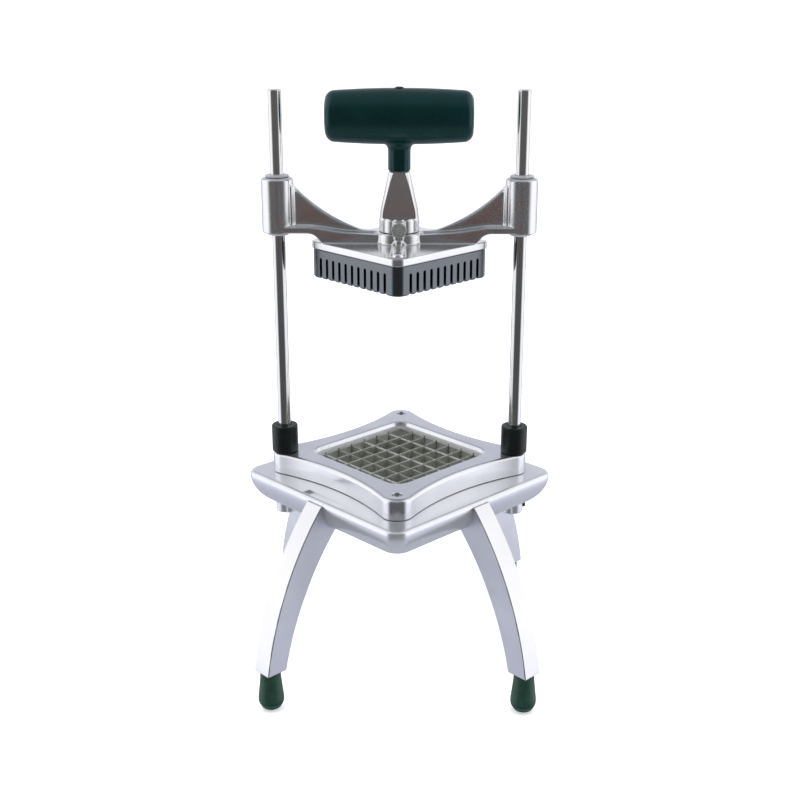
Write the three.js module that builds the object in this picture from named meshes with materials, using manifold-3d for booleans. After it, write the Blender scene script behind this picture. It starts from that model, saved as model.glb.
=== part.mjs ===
// Vegetable dicer: a pusher head slides on two guide rods above a square grid of blades.
// Millimetres, +Z up. The origin is on the table, below the centre of the blade grid.
// The guide rods stand on the X axis and the operator stands on the -Y side.
// The square base, cover, blades and pusher are turned 45 degrees, so their corners lie on X and Y.
import * as THREE from 'three';
import { mergeVertices } from 'three/addons/utils/BufferGeometryUtils.js';
import Module from 'manifold-3d';

const wasm = await Module();
wasm.setup();

// ---------- Driving dimensions ----------
const GAP = 0.3; // clearance between pieces that touch
const CUT = 1; // how far a cutting shape runs past the face it opens
const QUARTER_TURN = Math.PI / 2;
const EIGHTH_TURN = Math.PI / 4;
const SIDES = 20; // facets round a turned piece and the bore that it fits, so that they nest
const SMALL_SIDES = 12; // facets round fasteners and their holes

// Blade grid and opening
const CELL = 12.7; // half-inch blade pitch
const CELLS = 7;
const OPENING_HALF = (CELL * CELLS) / 2;
const OPENING_R = 8.5;
const BLADE_THICKNESS = 0.8;
const BLADE_REACH = OPENING_HALF + 3;
const BLADE_DROP = 6.2; // blade edges lie this far below the cover's top face
const LOWER_SET_DROP = 0.8; // the second set of blades sits this much lower
const BLADE_HEIGHT = 9.4;

// Base casting
const DECK_Z = 144; // flat top of the base
const DECK_THICKNESS = 5;
const BASE_HALF = 80;
const BASE_R = 11;
const BASE_WALL = 4;
const RIM_ROUND = 3;
const SKIRT_DEPTH = 22; // deck to the bottom lip of the skirt
const SKIRT_SWEEP = 20; // how far the skirt would curve in over its full ellipse
const SKIRT_FALL = 21.6; // height of that ellipse
const SKIRT_STATIONS = [20, 17, 12.5, 8]; // depths at which its curve is drawn
const CAVITY_STATIONS = [20, 17, 12.5];
const CHUTE_HALF = 45.2;
const CHUTE_WALL = 3.5;
const CHUTE_R = { inside: 2, outside: 5 };
const CHUTE_DEPTH = 20;
const SEAT_DEPTH = 1.5; // recess in the deck that locates the blade cassette
const SCREW_BOSS_R = 6;
const SCREW_BOSS_DEPTH = 14;
const THUMB_RECESS = { x: -62.6, y: -40, length: 34, width: 9, depth: 3 };

// Cover
const COVER_HEIGHT = 15;
const COVER_TOP_Z = DECK_Z + COVER_HEIGHT;
const COVER_TIP = 91.2; // centre to each corner
const COVER_WAIST = 58.8; // centre to the middle of each concave side
const COVER_R = 11;
const COVER_LIP = 5; // thickness of the top over the cassette
const COVER_ROUND = 3;
const MOUTH_CHAMFER = { depth: 2.4, width: 1.6 }; // round the opening's top edge
const COVER_SCREW_Y = 80.5;
const SCREW_R = 2;
const SCREW_LENGTH = 11; // below the deck
const SCREW_HEAD_R = 3.2;
const SCREW_HEAD = 1.6;
const SCREW_HEX_R = 1.4;
const COUNTERBORE = 3;

// Cassette that holds the blades
const CASSETTE_HALF = 50.6;
const CASSETTE_INNER_HALF = OPENING_HALF + 0.15;
const CASSETTE_R = 4;

// Guide rods, their sockets and bumpers
const ROD_X = 82.5;
const ROD_R = 4.5;
const ROD_TOP_Z = 413.9;
const ROD_CHAMFER = 0.8;
const SOCKET_R = 8;
const SOCKET_BOTTOM_Z = 112.4;
const SOCKET_FLOOR = 1.5;
const BUMPER_R = 9.35;
const BUMPER_HEIGHT = 19.7;
const SET_SCREW_Z = 117.6;
const SET_SCREW_R = 1.9;
const SET_SCREW_PROUD = 1.6;
const SET_SCREW_HEX = { r: 1, depth: 1.2 };

// Legs and feet
const LEG_WIDTH = 15.4;
const LEG_BOTTOM_Z = 29.2;
const LEG_TOP_Z = DECK_Z - 2.3;
const LEG_OUTER_ARC = { x: -91.7, z: -4.2, r: 226.1 };
const LEG_INNER_ARC = { x: -85.7, z: -15.9, r: 206.3 };
const LEG_SHOULDER_R = 70; // inside this radius the leg passes under the deck
const LEG_TAB_R = 50; // inner end of the tab that is bolted to the base
const LEG_TAB_THICKNESS = 8;
const LEG_BOLT_R = 54; // distance of the bolt from the centre
const LEG_BOLT_HEAD_R = 4.2;
const LEG_BOLT_HEAD = 4;
const LEG_BOLT_CHAMFER = 0.7;
const FOOT_CENTRE_R = 124;
const FOOT_HEIGHT = LEG_BOTTOM_Z - GAP;
const FOOT_NECK_R = 7.2;
const FOOT_PROFILE = [
  [3.6, 0], [6.6, 1.6], [8.3, 4.8], [8.9, 7], [8.9, 9.5], [8.1, 16.5], [FOOT_NECK_R, 25],
];
const FOOT_PEG_R = 4;
const FOOT_PEG_LENGTH = 14;

// Sliding head
const BOSS_R = 11;
const BOSS_BOTTOM_Z = 318.8;
const BOSS_TOP_Z = 356.2;
const BOSS_CHAMFER = { width: 1.8, height: 1.2 };
const BUSH_R = 6.6;
const BUSH_LENGTH = 13;
const BUSH_FLANGE_UPPER_R = 8;
const BUSH_FLANGE_LOWER_R = 7.3;
const BUSH_FLANGE = 1.3;
const BUSH_SLIDE_GAP = 0.25;
const WEB_HALF = 3;
const RIB_HALF = 10.4;
const RIB_BOTTOM_Z = 319.3;
const RIB_TOP_Z = 323.8;
const RIB_UNDERSIDE = [[-61, 0], [-57, -1], [-54, -3.4], [-52, -6.2], [-51, -8]]; // below RIB_BOTTOM_Z
const RIB_UPPERSIDE = [[-26, -0.2], [-37, 0.4], [-45, 1.3], [-53, 2.5]]; // from SPLIT_Z
const RIB_STEP = 1.4; // the rib's inner end lies this far below SPLIT_Z
const RIB_ROOT = 6;
const ARM_ROOT = 8; // how far the arms run into the bosses and short of the centre
const ARM_ARC = { x: 12.9, z: 429.5, r: 115.2 };
const PLATE_TOP_Z = 313.1;
const PLATE_THICKNESS = 5;
const PLATE_HALF = 44.5;
const PLATE_R = 7;
const PLATE_RIB = { r: 4.6, flatten: 0.8, sink: 0.4, reach: 56 };
const SPLIT_Z = 319.9; // joint between the head and the handle's cone
const RING_R = 17.6;

// Handle
const COLLAR_R = 13.8;
const COLLAR_TOP_Z = 328.7;
const COLLAR_CHAMFER = 0.6;
const CONE_FOOT_R = 13.2;
const CONE_BEND = { r: 12.5, z: 336.5 };
const CONE_TOP_Z = 360.3;
const CONE_TOP_R = 7.2;
const FLAT_Y = { top: 6, bottom: 7 };
const SPIGOT_R = 9;
const SPIGOT_DEPTH = 3.5;
const STEM_R = 7.6;
const STEM_BOTTOM_Z = CONE_TOP_Z + GAP;
const STEM_FLARE = [[0, -2.5], [0.8, -0.6], [2.6, 1]]; // radius gain and height from the bar's underside
const GRIP_Z = 396.5;
const GRIP_HALF_LENGTH = 49.3;
const GRIP_HALF_HEIGHT = 18.4;
const GRIP_HALF_DEPTH = 17.4;
const GRIP_END_SCALE = 0.92;
const GRIP_END_ROUND = 6.5;
const GRIP_END_DROP = 0.36; // share of its height that the bar loses round each end
const CORE_STEM_R = 5.2;
const CORE_BAR_R = 8;
const CORE_BAR_HALF = 38;
const CORE_TOP_Z = GRIP_Z + CORE_BAR_R;
const CORE_SPIGOT = 12;
const TIE_R = 3;
const TIE_HEAD_R = 3.6;
const TIE_HEAD_CROWN = { width: 1.2, height: 1.1 };
const TIE_TOP_Z = 415.6;
const TIE_SEAT = 1; // sink of its head in the core
const LOCK_Z = 323.5;
const LOCK_PAD_R = 4.2;
const LOCK_PAD_Y = -13;
const LOCK_LUG = { setback: 2.5, top: 4, shoulder: 2.8, shoulderR: 3.15, foot: 0.5 };
const LOCK_HEAD_R = 5.2;
const LOCK_FACE_R = 3.9;
const LOCK_HEAD = 2.2;
const LOCK_SHANK_R = 2;
const LOCK_GROOVE = 0.5;
const LOCK_RIM = 0.7;

// Pusher block
const PUSHER_HALF = 43.7;
const PUSHER_R = 7;
const PUSHER_TOP_Z = PLATE_TOP_Z - PLATE_THICKNESS - GAP;
const PUSHER_SOLID = 5.1; // thickness above the slots
const FINGER_LENGTH = 14.7;
const SLOT_PITCH = CELL / 2;
const SLOT_WIDTH = 2.5;
const SLOTS = 11;
const NUT_R = 6.5;
const NUT_HEIGHT = 3.6;
const DOWEL_R = 2.5;
const DOWEL_X = 30;
const DOWEL_DEPTH = 3.4;

// ---------- Solids ----------
function toSolid(geometry) {
  const bare = geometry.clone();
  bare.deleteAttribute('normal');
  bare.deleteAttribute('uv');
  const merged = mergeVertices(bare, 1e-4);
  const index = merged.index.array;
  const kept = [];
  for (let i = 0; i < index.length; i += 3) {
    const [a, b, c] = [index[i], index[i + 1], index[i + 2]];
    if (a !== b && b !== c && c !== a) kept.push(a, b, c);
  }
  const mesh = new wasm.Mesh({
    numProp: 3,
    vertProperties: Float32Array.from(merged.attributes.position.array),
    triVerts: Uint32Array.from(kept),
  });
  return new wasm.Manifold(mesh);
}

function toGeometry(solid) {
  const mesh = solid.getMesh();
  const geometry = new THREE.BufferGeometry();
  geometry.setAttribute('position', new THREE.BufferAttribute(mesh.vertProperties, 3));
  geometry.setIndex(new THREE.BufferAttribute(mesh.triVerts, 1));
  geometry.computeVertexNormals();
  return geometry;
}

// Joins the first list of geometries and cuts the second list out of them.
function build(joined, cuts = []) {
  let solid = toSolid(joined[0]);
  for (const geometry of joined.slice(1)) solid = solid.add(toSolid(geometry));
  for (const geometry of cuts) solid = solid.subtract(toSolid(geometry));
  return toGeometry(solid);
}

// ---------- Geometry helpers ----------
function arc(centreX, centreY, radius, from, to, steps) {
  const points = [];
  for (let i = 0; i <= steps; i += 1) {
    const angle = from + ((to - from) * i) / steps;
    points.push(new THREE.Vector2(centreX + radius * Math.cos(angle), centreY + radius * Math.sin(angle)));
  }
  return points;
}

// A square with rounded corners; its corners lie on the X and Y axes.
function squareLoop(half, radius, steps = 4) {
  const points = [];
  const centre = (half - radius) * Math.SQRT2;
  for (let corner = 0; corner < 4; corner += 1) {
    const angle = corner * QUARTER_TURN;
    const x = centre * Math.cos(angle);
    const y = centre * Math.sin(angle);
    points.push(...arc(x, y, radius, angle - EIGHTH_TURN, angle + EIGHTH_TURN, steps));
  }
  return points;
}

// The cover's outline: rounded tips on the axes and concave arcs between them, moved in by inset.
function coverLoop(inset) {
  const tip = COVER_TIP - COVER_R;
  const waist = COVER_WAIST;
  const sideR =
    (waist ** 2 - Math.SQRT2 * tip * waist + tip ** 2 - COVER_R ** 2) /
    (2 * COVER_R + Math.SQRT2 * tip - 2 * waist);
  const side = (waist + sideR) / Math.SQRT2;
  const turn = Math.atan2(side, side - tip);
  const points = [];
  for (let corner = 0; corner < 4; corner += 1) {
    const angle = corner * QUARTER_TURN;
    const loop = arc(tip, 0, COVER_R - inset, -turn, turn, 6);
    loop.push(...arc(side, side, sideR + inset, Math.PI + turn, 1.5 * Math.PI - turn, 8).slice(1, -1));
    points.push(...loop.map((point) => point.rotateAround(new THREE.Vector2(), angle)));
  }
  return points;
}

// Skins a stack of loops [points, z] from the lowest to the highest and caps both ends.
function loft(rings) {
  const count = rings[0][0].length;
  const positions = [];
  const index = [];
  for (const [points, z] of rings) {
    for (const point of points) positions.push(point.x, point.y, z);
  }
  for (let ring = 0; ring < rings.length - 1; ring += 1) {
    for (let i = 0; i < count; i += 1) {
      const a = ring * count + i;
      const b = ring * count + ((i + 1) % count);
      index.push(a, b, b + count, a, b + count, a + count);
    }
  }
  const last = (rings.length - 1) * count;
  for (const [a, b, c] of THREE.ShapeUtils.triangulateShape(rings[0][0], [])) index.push(c, b, a);
  for (const [a, b, c] of THREE.ShapeUtils.triangulateShape(rings[rings.length - 1][0], [])) {
    index.push(last + a, last + b, last + c);
  }
  const geometry = new THREE.BufferGeometry();
  geometry.setAttribute('position', new THREE.Float32BufferAttribute(positions, 3));
  geometry.setIndex(index);
  return geometry;
}

function prism(points, bottomZ, topZ) {
  return loft([[points, bottomZ], [points, topZ]]);
}

// A body turned about the Z axis from [radius, z] pairs that start and end on the axis, going up.
function turned(profile, segments = SIDES) {
  const points = profile.map(([radius, z]) => new THREE.Vector2(radius, z));
  const geometry = new THREE.LatheGeometry(points, segments);
  geometry.rotateX(QUARTER_TURN);
  return geometry;
}

function cylinder(radius, bottomZ, topZ, x = 0, y = 0, segments = SIDES) {
  const profile = [[0, bottomZ], [radius, bottomZ], [radius, topZ], [0, topZ]];
  return turned(profile, segments).translate(x, y, 0);
}

// A cylinder with fewer facets, for fasteners and their holes.
function pin(radius, bottomZ, topZ, x = 0, y = 0) {
  return cylinder(radius, bottomZ, topZ, x, y, SMALL_SIDES);
}

function hexagon(radius, bottomZ, topZ) {
  return cylinder(radius, bottomZ, topZ, 0, 0, 6);
}

// Lays an upright piece down along Y, at height z on the centre line.
function laid(geometry, z = 0) {
  return geometry.rotateX(-QUARTER_TURN).translate(0, 0, z);
}

function tube(inner, outer, bottomZ, topZ) {
  return build([cylinder(outer, bottomZ, topZ)], [cylinder(inner, bottomZ - CUT, topZ + CUT)]);
}

// A block from x[0] to x[1] and z[0] to z[1], centred on Y = 0.
function block(x, width, z) {
  const geometry = new THREE.BoxGeometry(x[1] - x[0], width, z[1] - z[0]);
  return geometry.translate((x[0] + x[1]) / 2, 0, (z[0] + z[1]) / 2);
}

// Extrudes an outline in the XZ plane symmetrically about Y = 0.
function slab(points, thickness) {
  const geometry = new THREE.ExtrudeGeometry(new THREE.Shape(points), {
    depth: thickness, bevelEnabled: false, steps: 1,
  });
  return geometry.translate(0, 0, -thickness / 2).rotateX(QUARTER_TURN);
}

function v2(x, y) {
  return new THREE.Vector2(x, y);
}

const dicer = new THREE.Group();
const turnedGroup = new THREE.Group(); // pieces whose sides run along the blades
turnedGroup.rotation.z = EIGHTH_TURN;
dicer.add(turnedGroup);

function addPiece(name, geometry, look, parent = dicer) {
  const mesh = new THREE.Mesh(geometry, new THREE.MeshStandardMaterial(look));
  mesh.name = name;
  parent.add(mesh);
  return mesh;
}

const LOOKS = {
  casting: { color: 0xc6c7d1, roughness: 0.3, metalness: 0.9 },
  polished: { color: 0x9c9894, roughness: 0.15, metalness: 1 },
  stainless: { color: 0xb9bab8, roughness: 0.2, metalness: 1 },
  blade: { color: 0x9a9a8e, roughness: 0.25, metalness: 1 },
  blackRubber: { color: 0x101d1b, roughness: 0.6, metalness: 0 },
  greenRubber: { color: 0x196446, roughness: 0.55, metalness: 0 },
  greenVinyl: { color: 0x10322f, roughness: 0.2, metalness: 0 },
  greyPlastic: { color: 0x3e474d, roughness: 0.5, metalness: 0 },
  nylon: { color: 0xd5d4dc, roughness: 0.5, metalness: 0 },
  blackSteel: { color: 0x202224, roughness: 0.4, metalness: 0.8 },
};

// ---------- Legs and feet ----------
function arcRun(circle, fromZ, toZ, steps) {
  const from = Math.asin((fromZ - circle.z) / circle.r);
  const to = Math.asin((toZ - circle.z) / circle.r);
  return arc(circle.x, circle.z, circle.r, from, to, steps);
}

function legGeometry() {
  const tabTop = DECK_Z - DECK_THICKNESS - GAP;
  const tabBottom = tabTop - LEG_TAB_THICKNESS;
  const outline = [
    ...arcRun(LEG_OUTER_ARC, LEG_BOTTOM_Z, LEG_TOP_Z, 12),
    v2(LEG_SHOULDER_R, LEG_TOP_Z),
    v2(LEG_SHOULDER_R, tabTop),
    v2(LEG_TAB_R, tabTop),
    v2(LEG_TAB_R, tabBottom),
    ...arcRun(LEG_INNER_ARC, tabBottom, LEG_BOTTOM_Z, 12),
  ];
  const peg = pin(FOOT_PEG_R, LEG_BOTTOM_Z - FOOT_PEG_LENGTH, LEG_BOTTOM_Z + CUT, FOOT_CENTRE_R);
  const boltHole = pin(SCREW_R + GAP, tabBottom - CUT, tabTop + CUT, LEG_BOLT_R);
  return build([slab(outline, LEG_WIDTH), peg], [boltHole]);
}

function legBoltGeometry() {
  const headTop = DECK_Z - DECK_THICKNESS - LEG_TAB_THICKNESS - 2 * GAP;
  const headBottom = headTop - LEG_BOLT_HEAD;
  const tip = DECK_Z - CUT;
  return turned([
    [0, headBottom],
    [LEG_BOLT_HEAD_R - LEG_BOLT_CHAMFER, headBottom],
    [LEG_BOLT_HEAD_R, headBottom + LEG_BOLT_CHAMFER],
    [LEG_BOLT_HEAD_R, headTop],
    [SCREW_R, headTop],
    [SCREW_R, tip],
    [0, tip],
  ], SMALL_SIDES).translate(LEG_BOLT_R, 0, 0);
}

function footGeometry() {
  const outside = turned([[0, 0], ...FOOT_PROFILE, [FOOT_NECK_R, FOOT_HEIGHT], [0, FOOT_HEIGHT]]);
  const pegHole = pin(FOOT_PEG_R + GAP, LEG_BOTTOM_Z - FOOT_PEG_LENGTH - GAP, LEG_BOTTOM_Z);
  return build([outside], [pegHole]).translate(FOOT_CENTRE_R, 0, 0);
}

const LEG_NAMES = ['rear_right', 'rear_left', 'front_left', 'front_right'];
LEG_NAMES.forEach((place, i) => {
  const leg = new THREE.Group();
  leg.rotation.z = EIGHTH_TURN + i * QUARTER_TURN;
  dicer.add(leg);
  addPiece(`leg_${place}`, legGeometry(), LOOKS.casting, leg);
  addPiece(`leg_bolt_${place}`, legBoltGeometry(), LOOKS.stainless, leg);
  addPiece(`foot_${place}`, footGeometry(), LOOKS.greenRubber, leg);
});

// ---------- Base casting ----------
function skirtInset(depth) {
  const down = Math.max(0, depth - RIM_ROUND) / SKIRT_FALL;
  return SKIRT_SWEEP * (1 - Math.sqrt(1 - down ** 2));
}

// Sections of the skirt's outside, moved in by offset.
function skirtRings(offset, depths) {
  return depths.map((depth) => {
    const half = BASE_HALF - offset - skirtInset(depth);
    return [squareLoop(half, BASE_R - offset), DECK_Z - depth];
  });
}

function baseShell() {
  const rim = arc(0, 0, RIM_ROUND, 0, QUARTER_TURN, 3).slice(1).map((point) => {
    const inset = RIM_ROUND - point.x;
    return [squareLoop(BASE_HALF - inset, BASE_R - inset), DECK_Z - RIM_ROUND + point.y];
  });
  const shell = loft([...skirtRings(0, [SKIRT_DEPTH, ...SKIRT_STATIONS, RIM_ROUND]), ...rim]);
  const mouthHalf = BASE_HALF - BASE_WALL - skirtInset(SKIRT_DEPTH);
  const mouth = [squareLoop(mouthHalf, BASE_R - BASE_WALL), DECK_Z - SKIRT_DEPTH - CUT];
  const cavity = loft([mouth, ...skirtRings(BASE_WALL, [...CAVITY_STATIONS, DECK_THICKNESS])]);
  return build([shell], [cavity]);
}

// Cuts for one leg: through the skirt, into the rim above its shoulder, and for its bolt.
function legCuts(angle) {
  const underDeck = DECK_Z - DECK_THICKNESS;
  const outer = BASE_HALF + 2 * BASE_R;
  const width = LEG_WIDTH + 2 * GAP;
  const skirtSlot = block([LEG_TAB_R - GAP, outer], width, [DECK_Z - SKIRT_DEPTH - CUT, underDeck]);
  const rimSlot = block([LEG_SHOULDER_R - GAP, outer], width, [underDeck - CUT, LEG_TOP_Z + GAP]);
  const boltHole = pin(SCREW_R + GAP, underDeck - CUT, DECK_Z + CUT, LEG_BOLT_R);
  return [skirtSlot, rimSlot, boltHole].map((geometry) => geometry.rotateZ(angle));
}

function baseGeometry() {
  const underDeck = DECK_Z - DECK_THICKNESS;
  const chuteOutside = squareLoop(CHUTE_HALF + CHUTE_WALL, CHUTE_R.outside);
  const joined = [baseShell(), prism(chuteOutside, DECK_Z - CHUTE_DEPTH, underDeck + CUT)];
  const seat = squareLoop(CASSETTE_HALF + GAP, CASSETTE_R + GAP);
  const cuts = [
    prism(squareLoop(CHUTE_HALF, CHUTE_R.inside), 0, DECK_Z + CUT),
    prism(seat, DECK_Z - SEAT_DEPTH, DECK_Z + CUT),
    thumbRecess(),
  ];
  for (const side of [-1, 1]) {
    const rodX = side * ROD_X;
    const screwY = side * COVER_SCREW_Y;
    joined.push(cylinder(SOCKET_R, SOCKET_BOTTOM_Z, underDeck + CUT, rodX));
    joined.push(pin(SCREW_BOSS_R, DECK_Z - SCREW_BOSS_DEPTH, underDeck + CUT, 0, screwY));
    cuts.push(cylinder(ROD_R + GAP, SOCKET_BOTTOM_Z + SOCKET_FLOOR, DECK_Z + CUT, rodX));
    cuts.push(pin(SCREW_R + GAP, DECK_Z - SCREW_LENGTH - CUT, DECK_Z + CUT, 0, screwY));
    const screwHole = laid(pin(SET_SCREW_R + GAP, ROD_R, SOCKET_R + CUT));
    cuts.push(screwHole.rotateZ(-QUARTER_TURN).translate(rodX, 0, SET_SCREW_Z));
  }
  for (let i = 0; i < LEG_NAMES.length; i += 1) cuts.push(...legCuts(EIGHTH_TURN + i * QUARTER_TURN));
  return build(joined, cuts);
}

// A shallow ramp sunk in the deck beside the cover, deepest at its rear end.
function thumbRecess() {
  const { x, y, length, width, depth } = THUMB_RECESS;
  const ramp = slab([v2(0, -depth), v2(length, 0), v2(length, CUT), v2(0, CUT)], width);
  return ramp.rotateZ(-EIGHTH_TURN).translate(x, y, DECK_Z);
}

addPiece('base_casting', baseGeometry(), LOOKS.casting);

// ---------- Cover ----------
function coverGeometry() {
  const bottom = DECK_Z + GAP;
  const rim = arc(0, 0, COVER_ROUND, 0, QUARTER_TURN, 3).map((point) => [
    coverLoop(COVER_ROUND - point.x), COVER_TOP_Z - COVER_ROUND + point.y,
  ]);
  const body = loft([[coverLoop(0), bottom], ...rim]);
  const { depth, width } = MOUTH_CHAMFER;
  const opening = loft([
    [squareLoop(OPENING_HALF, OPENING_R), bottom - CUT],
    [squareLoop(OPENING_HALF, OPENING_R), COVER_TOP_Z - depth],
    [squareLoop(OPENING_HALF + width, OPENING_R + width), COVER_TOP_Z + GAP],
  ]);
  const pocket = squareLoop(CASSETTE_HALF + GAP, CASSETTE_R + GAP);
  const cuts = [opening, prism(pocket, bottom - CUT, COVER_TOP_Z - COVER_LIP)];
  for (const side of [-1, 1]) {
    const screwY = side * COVER_SCREW_Y;
    cuts.push(cylinder(ROD_R + GAP, bottom - CUT, COVER_TOP_Z + CUT, side * ROD_X));
    cuts.push(pin(SCREW_R + GAP, bottom - CUT, COVER_TOP_Z + CUT, 0, screwY));
    cuts.push(pin(SCREW_HEAD_R + GAP, COVER_TOP_Z - COUNTERBORE, COVER_TOP_Z + CUT, 0, screwY));
  }
  return build([body], cuts);
}

function coverScrewGeometry() {
  const headBottom = COVER_TOP_Z - COUNTERBORE + GAP;
  const headTop = headBottom + SCREW_HEAD;
  const tip = DECK_Z - SCREW_LENGTH;
  const screw = turned([
    [0, tip], [SCREW_R / 2, tip], [SCREW_R, tip + SCREW_R / 2], [SCREW_R, headBottom],
    [SCREW_HEAD_R, headBottom], [SCREW_HEAD_R, headTop], [0, headTop],
  ], SMALL_SIDES);
  return build([screw], [hexagon(SCREW_HEX_R, headBottom + GAP, headTop + CUT)]);
}

addPiece('cover_frame', coverGeometry(), LOOKS.casting);
addPiece('cover_screw_front', coverScrewGeometry(), LOOKS.stainless).position.y = -COVER_SCREW_Y;
addPiece('cover_screw_rear', coverScrewGeometry(), LOOKS.stainless).position.y = COVER_SCREW_Y;

// ---------- Blade cassette and blades, drawn along X and Y in the turned group ----------
const CROSSINGS = Array.from({ length: CELLS - 1 }, (_, i) => (i + 1) * CELL - OPENING_HALF);
const CASSETTE_BOTTOM_Z = DECK_Z - SEAT_DEPTH + GAP;

function cassetteGeometry() {
  const outline = squareLoop(CASSETTE_HALF, CASSETTE_R);
  const frame = new THREE.Shape(outline.map((point) => point.rotateAround(v2(0, 0), EIGHTH_TURN)));
  const inner = CASSETTE_INNER_HALF;
  const slotEnd = BLADE_REACH + GAP;
  const halfSlot = BLADE_THICKNESS / 2 + GAP;
  const hole = [];
  for (let side = 0; side < 4; side += 1) {
    const edge = [v2(inner, -inner)];
    for (const y of CROSSINGS) {
      edge.push(v2(inner, y - halfSlot), v2(slotEnd, y - halfSlot));
      edge.push(v2(slotEnd, y + halfSlot), v2(inner, y + halfSlot));
    }
    hole.push(...edge.map((point) => point.rotateAround(v2(0, 0), side * QUARTER_TURN)));
  }
  frame.holes.push(new THREE.Path(hole));
  const height = COVER_TOP_Z - COVER_LIP - GAP - CASSETTE_BOTTOM_Z;
  const geometry = new THREE.ExtrudeGeometry(frame, { depth: height, bevelEnabled: false, steps: 1 });
  return geometry.translate(0, 0, CASSETTE_BOTTOM_Z);
}

// One blade standing in the XZ plane; its notches open downwards or upwards.
function bladeGeometry(topZ, notchFromTop) {
  const bottomZ = topZ - BLADE_HEIGHT;
  const middle = COVER_TOP_Z - BLADE_DROP - LOWER_SET_DROP / 2 - BLADE_HEIGHT / 2;
  const halfNotch = BLADE_THICKNESS / 2 + GAP;
  const notchEnd = middle + (notchFromTop ? -GAP / 2 : GAP / 2);
  const openEdge = notchFromTop ? topZ : bottomZ;
  const farEdge = notchFromTop ? bottomZ : topZ;
  const outline = [v2(-BLADE_REACH, openEdge)];
  for (const x of CROSSINGS) {
    outline.push(v2(x - halfNotch, openEdge), v2(x - halfNotch, notchEnd));
    outline.push(v2(x + halfNotch, notchEnd), v2(x + halfNotch, openEdge));
  }
  outline.push(v2(BLADE_REACH, openEdge), v2(BLADE_REACH, farEdge), v2(-BLADE_REACH, farEdge));
  return slab(outline, BLADE_THICKNESS);
}

addPiece('blade_cassette', cassetteGeometry(), LOOKS.casting, turnedGroup);
CROSSINGS.forEach((offset, i) => {
  const upper = bladeGeometry(COVER_TOP_Z - BLADE_DROP, false);
  const lower = bladeGeometry(COVER_TOP_Z - BLADE_DROP - LOWER_SET_DROP, true);
  const cross = addPiece(`blade_upper_${i + 1}`, upper, LOOKS.blade, turnedGroup);
  cross.rotation.z = QUARTER_TURN;
  cross.position.x = offset;
  addPiece(`blade_lower_${i + 1}`, lower, LOOKS.blade, turnedGroup).position.y = offset;
});

// ---------- Guide rods, bumpers and set screws ----------
function rodGeometry() {
  const bottom = SOCKET_BOTTOM_Z + SOCKET_FLOOR + GAP;
  return turned([
    [0, bottom], [ROD_R, bottom], [ROD_R, ROD_TOP_Z - ROD_CHAMFER],
    [ROD_R - ROD_CHAMFER, ROD_TOP_Z], [0, ROD_TOP_Z],
  ]);
}

// A headless screw that points along +X and stands proud of the socket.
function setScrewGeometry() {
  const length = SOCKET_R - ROD_R - GAP + SET_SCREW_PROUD;
  const hexSocket = hexagon(SET_SCREW_HEX.r, length - SET_SCREW_HEX.depth, length + CUT);
  const screw = build([pin(SET_SCREW_R, 0, length)], [hexSocket]);
  return laid(screw).rotateZ(-QUARTER_TURN).translate(ROD_R + GAP, 0, 0);
}

const bumperBottom = COVER_TOP_Z + GAP;
for (const [name, side] of [['left', -1], ['right', 1]]) {
  const x = side * ROD_X;
  const bumper = tube(ROD_R + GAP, BUMPER_R, bumperBottom, bumperBottom + BUMPER_HEIGHT);
  addPiece(`guide_rod_${name}`, rodGeometry(), LOOKS.stainless).position.x = x;
  addPiece(`bumper_${name}`, bumper, LOOKS.blackRubber).position.x = x;
  addPiece(`rod_set_screw_${name}`, setScrewGeometry(), LOOKS.blackSteel).position.set(x, 0, SET_SCREW_Z);
}

// ---------- Sliding head ----------
// The left arm's web and rib are drawn in X and Z; the right arm turns them half round.
function armWeb() {
  const angleAt = (x) => Math.atan2(-Math.sqrt(ARM_ARC.r ** 2 - (x - ARM_ARC.x) ** 2), x - ARM_ARC.x);
  const outer = ARM_ROOT - ROD_X;
  const top = arc(ARM_ARC.x, ARM_ARC.z, ARM_ARC.r, angleAt(outer), angleAt(-ARM_ROOT), 10);
  const base = [v2(-ARM_ROOT, PLATE_TOP_Z), v2(-PLATE_HALF, PLATE_TOP_Z), v2(outer, RIB_BOTTOM_Z + CUT)];
  return slab([...base, ...top], 2 * WEB_HALF);
}

function armRib() {
  const outer = RIB_ROOT - ROD_X;
  const plateSink = PLATE_TOP_Z - CUT;
  return slab([
    v2(outer, RIB_TOP_Z),
    v2(outer, RIB_BOTTOM_Z),
    ...RIB_UNDERSIDE.map(([x, z]) => v2(x, RIB_BOTTOM_Z + z)),
    v2(-ARM_ROOT, plateSink),
    v2(-ARM_ROOT, SPLIT_Z - RIB_STEP),
    ...RIB_UPPERSIDE.map(([x, z]) => v2(x, SPLIT_Z + z)),
    v2(RIB_UNDERSIDE[0][0], RIB_TOP_Z),
  ], 2 * RIB_HALF);
}

// A half-round rib on the plate, from the centre ring to the front corner.
function plateRib() {
  const rib = laid(pin(PLATE_RIB.r, -PLATE_RIB.reach, 2 - RING_R));
  return rib.scale(1, 1, PLATE_RIB.flatten).translate(0, 0, PLATE_TOP_Z - PLATE_RIB.sink);
}

function bossGeometry(x) {
  return turned([
    [0, BOSS_BOTTOM_Z],
    [BOSS_R, BOSS_BOTTOM_Z],
    [BOSS_R, BOSS_TOP_Z - BOSS_CHAMFER.height],
    [BOSS_R - BOSS_CHAMFER.width, BOSS_TOP_Z],
    [0, BOSS_TOP_Z],
  ]).translate(x, 0, 0);
}

// Clearance for the lock screw's head in front of the ring and the collar.
function lockSpotface() {
  return laid(cylinder(LOCK_HEAD_R + GAP, -RING_R - LOCK_PAD_R, LOCK_PAD_Y - LOCK_PAD_R), LOCK_Z);
}

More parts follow.
